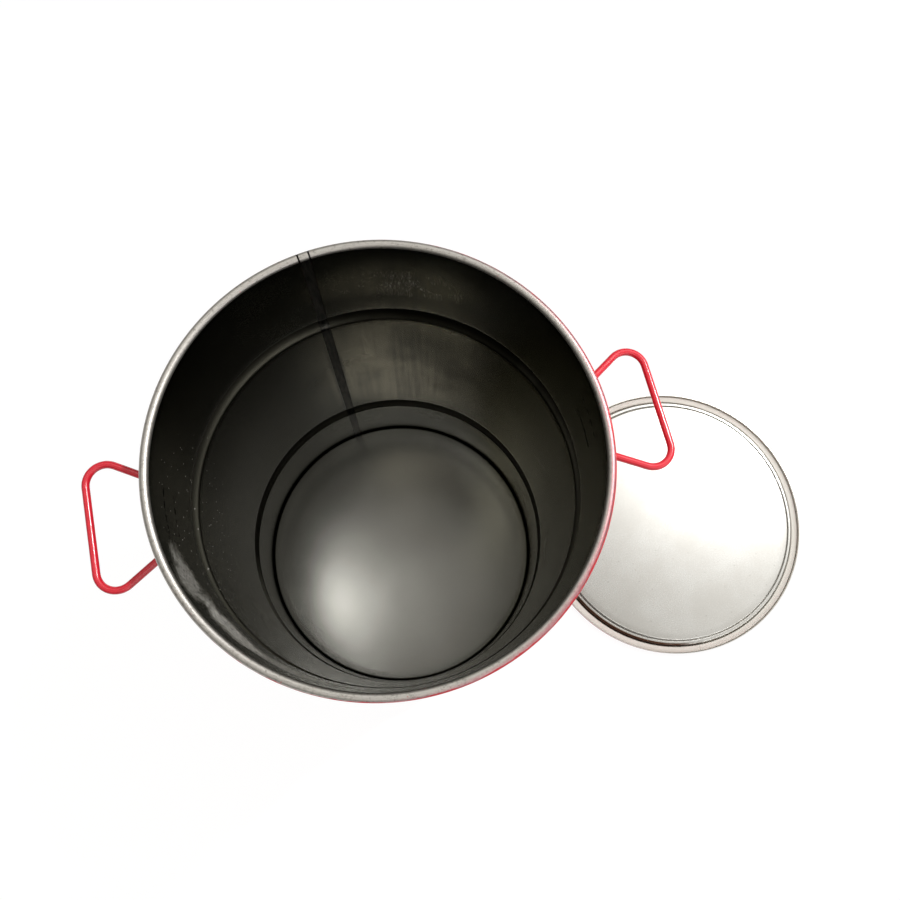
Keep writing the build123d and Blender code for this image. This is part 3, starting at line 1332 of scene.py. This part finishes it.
def rod_tree() -> Nodes:
    """Make the tree that bends a bar along a line of points.

    Returns:
        The tree. Each point's bend radius is its attribute bend.
    """
    bend_steps, sides, step, lump_size = 16, 28, 1.5, 9.0
    end_size = 0.82
    kinds = {
        "Rod radius": "NodeSocketFloat",
        "Paint unevenness": "NodeSocketFloat",
        "Finish": "NodeSocketMaterial",
    }
    tree, given = new_geometry_tree("bent bar", kinds)
    line = add_node(tree, "GeometryNodeMeshToCurve", {"Mesh": given})
    bend = add_node(tree, "GeometryNodeInputNamedAttribute", {"Name": "bend"}, data_type="FLOAT")
    parts = {"Curve": line, "Radius": bend, "Count": bend_steps, "Limit Radius": False}
    bent = add_node(tree, "GeometryNodeFilletCurve", parts, mode="POLY")
    parts = {"Curve": bent, "Length": step * MM}
    spaced = add_node(tree, "GeometryNodeResampleCurve", parts, mode="LENGTH")
    upright = add_node(tree, "GeometryNodeSetCurveNormal", {"Curve": spaced}, mode="Z_UP")
    ends = add_node(tree, "GeometryNodeCurveEndpointSelection", {"Start Size": 1, "End Size": 1})
    sized = add_node(tree, "GeometryNodeSetCurveRadius", {"Curve": upright, "Radius": 1.0})
    parts = {"Curve": sized, "Selection": ends, "Radius": end_size}
    eased = add_node(tree, "GeometryNodeSetCurveRadius", parts)
    parts = {"Resolution": sides, "Radius": given.outputs["Rod radius"]}
    ring = add_node(tree, "GeometryNodeCurvePrimitiveCircle", parts, mode="RADIUS")
    bar = add_node(
        tree, "GeometryNodeCurveToMesh", {"Curve": eased, "Profile Curve": ring, "Fill Caps": True}
    )
    lumps = add_node(tree, "ShaderNodeTexNoise", {"Scale": repeats(lump_size), "Detail": 2.0})
    amount = maths(tree, "SUBTRACT", lumps, 1.0)
    amount = maths(tree, "MULTIPLY", amount, given.outputs["Paint unevenness"])
    normal = add_node(tree, "GeometryNodeInputNormal")
    push = add_node(tree, "ShaderNodeVectorMath", {0: normal, "Scale": amount}, operation="SCALE")
    moved = add_node(tree, "GeometryNodeSetPosition", {"Geometry": bar, "Offset": push})
    real = add_node(tree, "GeometryNodeRealizeInstances", {"Geometry": moved})
    parts = {"Geometry": real, "Material": given.outputs["Finish"]}
    painted = add_node(tree, "GeometryNodeSetMaterial", parts)
    add_node(tree, "NodeGroupOutput", {"Geometry": painted})
    return tree


@dataclass
class Handle:
    """One drop handle: a bent round bar and the pressed bracket that holds it.

    Attributes:
        side: Side of the drum.
        reach: From the pivot line to the grip's middle.
        root_half: Half the distance between the bar's two turned-in corners.
        grip_half: Half the distance between the grip's corners, before bending.
    """

    side: HandSide
    gauge: Gauge = GAUGE
    rod_radius: float = 3.5
    reach: float = 64.0
    root_half: float = 30.7
    grip_half: float = 70.3
    corner_radius: float = 17.5
    root_radius: float = 8.0
    end_gap_half: float = 4.0
    plate_sheet: float = 2.0
    plate_width: float = 48.0
    plate_height: float = 42.0
    plate_corner: float = 5.0
    plate_standoff: float = 0.25
    channel_clearance: float = 0.06
    channel_root: float = 1.5
    plate_edge: float = 0.45
    paint_unevenness: float = 0.12

    def bar(self, tree: Nodes) -> bpy.types.Object:
        """Bend the bar.

        Args:
            tree: Geometry node tree that bends a bar.

        Returns:
            The piece.
        """
        near, far = self.gauge.pivot_radius, self.gauge.pivot_radius + self.reach
        half = [(near, self.end_gap_half, 0.0), (near, self.root_half, self.root_radius)]
        half.append((far, self.grip_half, self.corner_radius))
        corners = half + [(x, -y, bend) for x, y, bend in reversed(half)]
        drawn = np.array([(x, y, self.gauge.pivot_height) for x, y, _ in corners])
        mesh = bpy.data.meshes.new("bar line")
        edges = [(k, k + 1) for k in range(len(corners) - 1)]
        mesh.from_pydata(self.side.place(drawn), edges, [])
        bends = mesh.attributes.new("bend", "FLOAT", "POINT")
        bends.data.foreach_set("value", [bend * MM for _, _, bend in corners])
        source = new_object("bar line", mesh)
        values = {
            "Rod radius": self.rod_radius * MM,
            "Paint unevenness": self.paint_unevenness * MM,
            "Finish": HANDLE_LACQUER.material(),
        }
        bar = run_nodes(source, tree, values, f"drop_handle_{self.side.word}")
        bar.data.shade_smooth()
        bar.data.set_sharp_from_angle(angle=SHARP_EDGE)
        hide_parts(f"handle_{self.side.word}")
        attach(bar, f"handle_{self.side.word}")
        return bar

    def bracket(self) -> bpy.types.Object:
        """Press the bracket's plate, with the channel for the bar across it.

        Returns:
            The piece.
        """
        gauge = self.gauge
        inner = gauge.outer_radius + self.plate_standoff
        channel = self.rod_radius + self.channel_clearance
        root = self.channel_root + self.plate_sheet
        half_width, half_height = self.plate_width / 2, self.plate_height / 2
        flat_half = half_width - self.plate_corner
        corner_steps = [math.sin(math.radians(a)) for a in range(0, 91, 10)]
        rounded = [flat_half + self.plate_corner * s for s in corner_steps]
        middle = list(np.linspace(-flat_half, flat_half, 13)[1:-1])
        rows = [-y for y in reversed(rounded)] + middle + rounded
        faces, backs = [], []
        for y in rows:
            over = max(0.0, abs(y) - flat_half)
            rise = math.sqrt(max(0.0, self.plate_corner**2 - over**2))
            top = half_height - self.plate_corner + rise
            x = math.sqrt(inner**2 - y**2)
            level = top - channel - root
            out = gauge.pivot_radius - x - root
            foot: Move = (root, -90.0)
            moves: list[Move] = [level, foot, out, (channel, 180.0), out, foot, level]
            low = gauge.pivot_height - top
            section = bend_sheet((x, low), 90.0, moves, self.plate_sheet, straight_step=50.0)
            faces.append(section.face)
            backs.append(section.back)
        loop = np.concatenate([np.array(faces), np.array(backs)[:, ::-1]], 1)
        spans = loop.shape[1]
        across = np.repeat(np.array(rows)[:, None], spans, 1)
        points = np.stack([loop[..., 0], across, loop[..., 1]], -1).reshape(-1, 3)
        quads = []
        for j in range(len(rows) - 1):
            for i in range(spans):
                here, after, ahead = j * spans, (j + 1) * spans, (i + 1) % spans
                quads.append((here + i, here + ahead, after + ahead, after + i))
        last = (len(rows) - 1) * spans
        for i in range(spans // 2 - 1):
            a, b, c, d = i, spans - 1 - i, spans - 2 - i, i + 1
            quads.append((a, b, c, d))
            quads.append((last + a, last + d, last + c, last + b))
        mesh = bpy.data.meshes.new("bracket plate")
        mesh.from_pydata(self.side.place(points), [], quads)
        mesh.shade_smooth()
        source = new_object("bracket plate", mesh)
        mesh.materials.append(LACQUER.material())
        bevel = source.modifiers.new("rounded edges", "BEVEL")
        bevel.width, bevel.segments, bevel.limit_method = self.plate_edge * MM, 3, "ANGLE"
        bevel.angle_limit = math.radians(50)
        bevel.harden_normals = False
        plate = bake(source, f"bracket_plate_{self.side.word}")
        plate.data.set_sharp_from_angle(angle=SHARP_EDGE)
        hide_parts(f"handle_bracket_{self.side.word}")
        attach(plate, "drum")
        return plate


def weld_tree() -> Nodes:
    """Make the tree that sets rows of spot welds on both faces of the wall and bracket.

    Returns:
        The tree. It lays the welds out flat, then wraps them round the drum.
    """
    kinds = {
        "Pitch": "NodeSocketFloat",
        "Row gap": "NodeSocketFloat",
        "Length": "NodeSocketFloat",
        "Width": "NodeSocketFloat",
        "Rise": "NodeSocketFloat",
        "Direction": "NodeSocketFloat",
        "Height": "NodeSocketFloat",
        "Inside radius": "NodeSocketFloat",
        "Outside radius": "NodeSocketFloat",
        "Inside finish": "NodeSocketMaterial",
        "Outside finish": "NodeSocketMaterial",
        "Seed": "NodeSocketInt",
    }
    columns, rows, tilt_limit = 4, 2, 0.16
    smallest, largest = (0.55, 0.6, 0.8), (1.25, 1.2, 1.1)
    tree, given = new_geometry_tree("spot weld rows", kinds)
    value = given.outputs
    length = maths(tree, "MULTIPLY", value["Pitch"], float(columns - 1))
    parts = {"Size X": length, "Size Y": value["Row gap"], "Vertices X": columns, "Vertices Y": rows}
    grid = add_node(tree, "GeometryNodeMeshGrid", parts)
    ball = add_node(tree, "GeometryNodeMeshUVSphere", {"Segments": 20, "Rings": 10, "Radius": 0.5})
    parts = {0: value["Length"], 1: value["Width"], 2: value["Rise"]}
    size = add_node(tree, "ShaderNodeCombineXYZ", parts)
    parts = {"Min": smallest, "Max": largest, "Seed": value["Seed"]}
    uneven = add_node(tree, "FunctionNodeRandomValue", parts, data_type="FLOAT_VECTOR")
    scale = add_node(tree, "ShaderNodeVectorMath", {0: size, 1: uneven}, operation="MULTIPLY")
    parts = {"Min": (0, 0, -tilt_limit), "Max": (0, 0, tilt_limit), "Seed": value["Seed"]}
    tilt = add_node(tree, "FunctionNodeRandomValue", parts, data_type="FLOAT_VECTOR")
    parts = {"Points": grid, "Instance": ball, "Scale": scale, "Rotation": tilt}
    nuggets = add_node(tree, "GeometryNodeInstanceOnPoints", parts)
    flat = add_node(tree, "GeometryNodeRealizeInstances", {"Geometry": nuggets})
    place = add_node(tree, "ShaderNodeSeparateXYZ", {0: add_node(tree, "GeometryNodeInputPosition")})
    join = add_node(tree, "GeometryNodeJoinGeometry")
    height = maths(tree, "ADD", place.outputs["Y"], value["Height"])
    for radius_name, finish_name in (
        ("Inside radius", "Inside finish"),
        ("Outside radius", "Outside finish"),
    ):
        turn = maths(tree, "DIVIDE", place.outputs["X"], value[radius_name])
        turn = maths(tree, "ADD", turn, value["Direction"])
        radius = maths(tree, "ADD", place.outputs["Z"], value[radius_name])
        across = maths(tree, "MULTIPLY", maths(tree, "COSINE", turn), radius)
        along = maths(tree, "MULTIPLY", maths(tree, "SINE", turn), radius)
        wrapped = add_node(tree, "ShaderNodeCombineXYZ", {0: across, 1: along, 2: height})
        moved = add_node(tree, "GeometryNodeSetPosition", {"Geometry": flat, "Position": wrapped})
        parts = {"Geometry": moved, "Material": value[finish_name]}
        tree.links.new(add_node(tree, "GeometryNodeSetMaterial", parts).outputs[0], join.inputs[0])
    add_node(tree, "NodeGroupOutput", {"Geometry": join})
    return tree


@dataclass
class BracketWelds:
    """The spot welds of one bracket, seen as burnt marks inside and as dimples outside."""

    side: HandSide
    gauge: Gauge = GAUGE
    length: float = 10.5
    width: float = 3.8
    rise: float = 0.6
    pitch: float = 11.0
    row_gap: float = 30.0
    seeds: tuple[int, int] = (3, 11)

    def build(self, tree: Nodes) -> bpy.types.Object:
        """Set the welds.

        Args:
            tree: Geometry node tree of the weld rows.

        Returns:
            The piece.
        """
        source = new_object("weld start", bpy.data.meshes.new("weld start"))
        handle = Handle(self.side)
        plate_outer = self.gauge.outer_radius + handle.plate_standoff + handle.plate_sheet
        values = {
            "Pitch": self.pitch * MM,
            "Row gap": self.row_gap * MM,
            "Length": self.length * MM,
            "Width": self.width * MM,
            "Rise": self.rise * MM,
            "Direction": self.side.azimuth,
            "Height": self.gauge.pivot_height * MM,
            "Inside radius": self.gauge.inner_radius * MM,
            "Outside radius": plate_outer * MM,
            "Inside finish": SPOT_STEEL.material(),
            "Outside finish": LACQUER.material(),
            "Seed": self.seeds[self.side is HandSide.LEFT],
        }
        welds = run_nodes(source, tree, values, f"spot_welds_{self.side.word}")
        welds.data.shade_smooth()
        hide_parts(f"bracket_welds_{self.side.word}")
        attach(welds, "drum")
        return welds


@dataclass
class Lid:
    """The pressed lid, inside up, and the gasket in its groove."""

    gauge: Gauge = GAUGE
    sheet: float = 0.9
    mouth_clearance: float = 0.8
    curl_clearance: float = 1.0
    skirt_height: float = 10.5
    ledge_height: float = 9.3
    ledge_width: float = 4.5
    panel_height: float = 12.8
    wall_lean: float = 2.2
    step_lean: float = 3.0
    bend_radius: float = 2.0
    drum_gap: float = 13.0
    direction: float = -6.8
    gasket_thickness: float = 4.0
    gasket_inner_gap: float = 0.8
    gasket_outer_gap: float = 0.3
    gasket_low_corner: float = 2.0
    gasket_top_corner: float = 1.2
    butt_gap: float = 0.5
    butt_direction: float = -93.0
    gasket_waves: tuple[int, int] = (7, 11)
    gasket_squash: float = 0.12

    @property
    def wall_radius(self) -> float:
        """Radius of the wall that enters the drum's mouth."""
        return self.gauge.inner_radius - self.mouth_clearance

    @property
    def skirt_radius(self) -> float:
        """Inner radius of the skirt round the drum's curl."""
        return self.gauge.inner_radius + 2 * self.gauge.curl_radius + self.curl_clearance

    @property
    def centre(self) -> tuple[float, float]:
        """Middle of the lid on the floor."""
        rim = self.gauge.inner_radius + 2 * self.gauge.curl_radius
        distance = rim + self.skirt_radius + self.sheet + self.drum_gap
        turn = math.radians(self.direction)
        return distance * math.cos(turn), distance * math.sin(turn)

    def section(self) -> Section:
        """Trace the lid from its middle to the edge of its skirt.

        Returns:
            The section, whose traced face is the lid's inside.
        """
        ledge_outer = self.wall_radius - self.wall_lean
        ledge_inner = ledge_outer - self.ledge_width
        corners = [
            (0.0, self.panel_height),
            (ledge_inner - self.step_lean, self.panel_height),
            (ledge_inner, self.ledge_height),
            (ledge_outer, self.ledge_height),
            (self.wall_radius, self.sheet),
            (self.skirt_radius, self.sheet),
            (self.skirt_radius, self.skirt_height),
        ]
        points = [Vector(corner) for corner in corners]
        legs = [b - a for a, b in zip(points, points[1:])]
        headings = [math.degrees(math.atan2(leg.y, leg.x)) for leg in legs]
        turns = [b - a for a, b in zip(headings, headings[1:])]
        cuts = [abs(self.bend_radius * math.tan(math.radians(turn) / 2)) for turn in turns]
        moves: list[Move] = []
        for leg, before, after, turn in zip(legs, [0.0, *cuts], [*cuts, 0.0], [*turns, 0.0]):
            moves.append(leg.length - before - after)
            if turn:
                moves.append((self.bend_radius, turn))
        return bend_sheet(corners[0], 0.0, moves, self.sheet)

    def build(self) -> list[bpy.types.Object]:
        """Build the lid and its gasket.

        Returns:
            The two pieces.
        """
        section = self.section()
        spans = len(section.run) - 1
        lid = revolve_sheet(
            "lid_pressing",
            section,
            (LID_STEEL, LACQUER),
            [0] * spans,
            [1] * spans,
            centre=self.centre,
        )
        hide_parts("lid")
        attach(lid, "lid")
        return [lid, self.gasket()]

    def gasket(self) -> bpy.types.Object:
        """Lay the gasket on the groove's floor, open where its two ends meet.

        Returns:
            The piece.
        """
        inner = self.wall_radius + self.gasket_inner_gap
        outer = self.skirt_radius - self.gasket_outer_gap
        low, high = self.sheet, self.sheet + self.gasket_thickness
        shape = []
        for x, z, corner, first in (
            (inner, low, self.gasket_low_corner, 270.0),
            (inner, high, self.gasket_top_corner, 180.0),
            (outer, high, self.gasket_top_corner, 90.0),
            (outer, low, self.gasket_low_corner, 0.0),
        ):
            middle_x = x + corner if x == inner else x - corner
            middle_z = z + corner if z == low else z - corner
            for part in range(7):
                angle = math.radians(first - 15 * part)
                out, up = corner * math.cos(angle), corner * math.sin(angle)
                shape.append((middle_x + out, middle_z + up))
        ring = np.array(shape)
        segments = 300
        gap = math.degrees(self.butt_gap / self.wall_radius)
        turn = np.radians(np.linspace(gap / 2, 360 - gap / 2, segments + 1) + self.butt_direction)
        slow, fast = self.gasket_waves
        squash = self.gasket_squash * (np.sin(slow * turn) + np.sin(fast * turn + 1) - 2)
        top = ring[None, :, 1] > low + self.gasket_thickness / 2
        heights = ring[None, :, 1] + top * squash[:, None]
        radii = np.repeat(ring[None, :, 0], segments + 1, 0)
        points = np.stack(
            [
                self.centre[0] + radii * np.cos(turn[:, None]),
                self.centre[1] + radii * np.sin(turn[:, None]),
                heights,
            ],
            -1,
        )
        spans = len(shape)
        quads = []
        for j in range(segments):
            for i in range(spans):
                here, after, ahead = j * spans, (j + 1) * spans, (i + 1) % spans
                quads.append((here + i, here + ahead, after + ahead, after + i))
        caps = [tuple(range(spans - 1, -1, -1)), tuple(segments * spans + i for i in range(spans))]
        mesh = bpy.data.meshes.new("gasket_strip")
        mesh.from_pydata(points.reshape(-1, 3) * MM, [], quads + caps)
        strip = new_piece("gasket_strip", mesh, (GASKET_RUBBER,))
        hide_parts("lid_gasket")
        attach(strip, "lid")
        return strip


@dataclass(frozen=True)
class SoftLamp:
    """A flat soft lamp.

    Attributes:
        name: Name of the lamp.
        place: Middle of its face, in metres.
        aim: Point that it faces, in metres.
        size: Width and height of its face, in metres.
        radiance: How bright its face is, where 1 is white.
    """

    name: str
    place: tuple[float, float, float]
    aim: tuple[float, float, float]
    size: tuple[float, float]
    radiance: float


@dataclass
class Studio:
    """The floor, the light and the camera.

    Attributes:
        camera_place: Place of the camera, in millimetres.
        camera_turn: Turn of the camera, in degrees.
        lens: Focal length, for a sensor 36 mm wide.
        shift: Shift of the view, in shares of its width.
        floor_glow: Brightness of the floor, and its share of what camera and metal see.
        room_levels: Brightness of the room by the sine of the height above the horizon.
        key_turn: Direction of the key lamp, in degrees.
        key_lean: Its lean from upright, in degrees.
        key_distance: Its distance, in metres. The handle lights hang as far away.
        key_aim: Point that it faces, in metres.
        handle_levels: Light on the right and the left handle, in watts per square metre.
        handle_reach: Radius of that light, in metres.
        soft_lamps: The lamps besides the key. The first two are the window and the ceiling.
    """

    camera_place: tuple[float, float, float] = (0.9, -174.4, 1247.6)
    camera_turn: tuple[float, float, float] = (12.682, -1.989, -13.5)
    lens: float = 33.18
    shift: tuple[float, float] = (-0.0093, 0.0323)
    floor_size: float = 12.0
    room_levels: tuple[tuple[float, float], ...] = (
        (0.0, 0.12),
        (0.4, 0.12),
        (0.6, 0.5),
        (0.75, 0.8),
        (0.88, 0.5),
        (0.95, 0.38),
        (1.0, 0.38),
    )
    room_tint: str = "fffcf4"
    floor_paint: str = "f2f2f2"
    floor_glow: tuple[float, float] = (1.06, 0.88)
    key_turn: float = 20.0
    key_lean: float = 38.0
    key_distance: float = 3.2
    key_aim: tuple[float, float, float] = (0.1, 0.0, 0.3)
    key_size: tuple[float, float] = (0.25, 0.25)
    key_radiance: float = 90.0
    handle_levels: tuple[float, float] = (2.6, 1.6)
    handle_reach: float = 0.17
    handle_middle: float = 250.0
    soft_lamps: tuple[SoftLamp, ...] = (
        SoftLamp("window", (2.1, 1.7, 3.0), (2.1, 1.7, 0.0), (2.2, 2.8), 0.88),
        SoftLamp("ceiling", (2.1, -0.5, 3.0), (2.1, -0.5, 0.0), (2.2, 1.6), 0.3),
        SoftLamp("overhead", (-0.36, 0.17, 2.4), (-0.1, -0.1, 0.0), (0.26, 0.26), 6.6),
        SoftLamp("front ceiling", (-0.1, -1.35, 3.0), (-0.1, -1.35, 0.0), (1.6, 0.8), 1.6),
        SoftLamp("back ceiling", (-0.1, 1.35, 3.0), (-0.1, 1.35, 0.0), (2.0, 0.8), 1.3),
        SoftLamp("front window", (1.3, -2.4, 1.7), (0.0, 0.0, 0.55), (3.2, 0.8), 2.7),
    )

    def camera(self) -> None:
        """Place the camera where the photograph was taken from."""
        data = bpy.data.cameras.new("camera")
        data.lens, data.sensor_width = self.lens, 36.0
        data.shift_x, data.shift_y = self.shift
        camera = new_object("camera", data)
        camera.location = Vector(self.camera_place) * MM
        camera.rotation_euler = Euler([math.radians(a) for a in self.camera_turn])
        bpy.context.scene.camera = camera

    def floor(self) -> None:
        """Lay a plain white floor that the camera and the metal see as white."""
        half = self.floor_size / 2
        mesh = bpy.data.meshes.new("floor")
        corners = [(-half, -half, 0), (half, -half, 0), (half, half, 0), (-half, half, 0)]
        mesh.from_pydata(corners, [], [(0, 1, 2, 3)])
        material = bpy.data.materials.new("white studio floor")
        material.use_nodes = True
        tree = material.node_tree
        tree.nodes.clear()
        path = add_node(tree, "ShaderNodeLightPath")
        strength, part = self.floor_glow
        seen = either(tree, path.outputs["Is Camera Ray"], path.outputs["Is Glossy Ray"])
        share = maths(tree, "MULTIPLY", seen, part)
        matt = add_node(tree, "ShaderNodeBsdfDiffuse", {"Color": linear(self.floor_paint)})
        parts = {"Color": linear("ffffff"), "Strength": strength}
        glow = add_node(tree, "ShaderNodeEmission", parts)
        surface = add_node(tree, "ShaderNodeMixShader", {0: share, 1: matt, 2: glow})
        add_node(tree, "ShaderNodeOutputMaterial", {"Surface": surface})
        mesh.materials.append(material)
        floor = new_object("floor", mesh)

    def world(self) -> None:
        """Fill the room with even light, white where the camera sees it."""
        world = bpy.data.worlds.new("studio")
        world.use_nodes = True
        tree = world.node_tree
        tree.nodes.clear()
        path = add_node(tree, "ShaderNodeLightPath")
        aim = add_node(tree, "ShaderNodeTexCoord").outputs["Generated"]
        height = add_node(tree, "ShaderNodeSeparateXYZ", {0: aim}).outputs["Z"]
        level = add_node(tree, "ShaderNodeFloatCurve", {"Value": height})
        curve = level.mapping.curves[0].points
        while len(curve) < len(self.room_levels):
            curve.new(0.5, 0.5)
        for point, spot in zip(curve, self.room_levels):
            point.location = spot
        level.mapping.update()
        parts = {"Color": linear(self.room_tint), "Strength": level}
        room = add_node(tree, "ShaderNodeBackground", parts)
        plain = add_node(tree, "ShaderNodeBackground", {"Color": linear("ffffff"), "Strength": 1.0})
        shown = add_node(
            tree, "ShaderNodeMixShader", {0: path.outputs["Is Camera Ray"], 1: room, 2: plain}
        )
        add_node(tree, "ShaderNodeOutputWorld", {"Surface": shown})
        bpy.context.scene.world = world

    def hang(self, data: bpy.types.Light, place: Vector, aim: Vector) -> None:
        """Hang a lamp at one point so that it faces another, both in metres."""
        lamp = new_object(data.name, data)
        lamp.location = place
        lamp.rotation_euler = (aim - place).to_track_quat("-Z", "Y").to_euler()

    def soft(self, lamp: SoftLamp) -> None:
        """Hang a soft lamp."""
        data = bpy.data.lights.new(lamp.name, "AREA")
        data.shape = "RECTANGLE"
        data.size, data.size_y = lamp.size
        data.energy = lamp.radiance * math.pi * lamp.size[0] * lamp.size[1]
        self.hang(data, Vector(lamp.place), Vector(lamp.aim))

    def spot(self, name: str, place: Vector, aim: Vector, level: float) -> None:
        """Hang the narrow spotlight of a handle.

        Args:
            name: Name of the lamp.
            place: Place of the lamp, in metres.
            aim: Point that it faces, in metres.
            level: Light that falls there, in watts per square metre.
        """
        distance = (place - aim).length
        data = bpy.data.lights.new(name, "SPOT")
        data.energy = level * 4 * math.pi * distance**2
        data.spot_size = 2 * math.atan(self.handle_reach / distance)
        data.spot_blend = 0.35
        data.shadow_soft_size = 0.1
        self.hang(data, place, aim)

    def lamps(self) -> None:
        """Hang the key, a light on each handle, and the soft lamps above and in front."""
        turn, lean = math.radians(self.key_turn), math.radians(self.key_lean)
        across = Vector((math.cos(turn), math.sin(turn), 0.0)) * math.sin(lean)
        key = (across + Vector((0.0, 0.0, math.cos(lean)))) * self.key_distance
        for lamp in self.soft_lamps[:2]:
            self.soft(lamp)
        place = tuple(key + Vector(self.key_aim))
        self.soft(SoftLamp("key", place, self.key_aim, self.key_size, self.key_radiance))
        for side, level in zip(HandSide, self.handle_levels):
            middle = np.array([[self.handle_middle, 0.0, GAUGE.pivot_height]])
            grip = Vector(side.place(middle)[0])
            self.spot(f"{side.word} handle light", key + grip, grip, level)
        for lamp in self.soft_lamps[2:]:
            self.soft(lamp)

    def build(self) -> None:
        """Set up the whole studio."""
        self.camera()
        self.floor()
        self.world()
        self.lamps()


def main() -> None:
    """Build the drum's pieces in order, give the sealant its finish and set up the studio."""
    logging.basicConfig(level=logging.INFO, format="%(name)s: %(message)s")
    bpy.context.scene.view_settings.view_transform = "Standard"
    pieces = Body().build() + BottomHead().build()
    bent_bar, weld_rows = rod_tree(), weld_tree()
    for side in HandSide:
        handle = Handle(side)
        pieces += [handle.bar(bent_bar), handle.bracket(), BracketWelds(side).build(weld_rows)]
    pieces += Lid().build()
    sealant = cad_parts["chime_sealant"]
    sealant.data.materials.clear()
    sealant.data.materials.append(SEALANT.material())
    Studio().build()


if __name__ == "__main__":
    main()
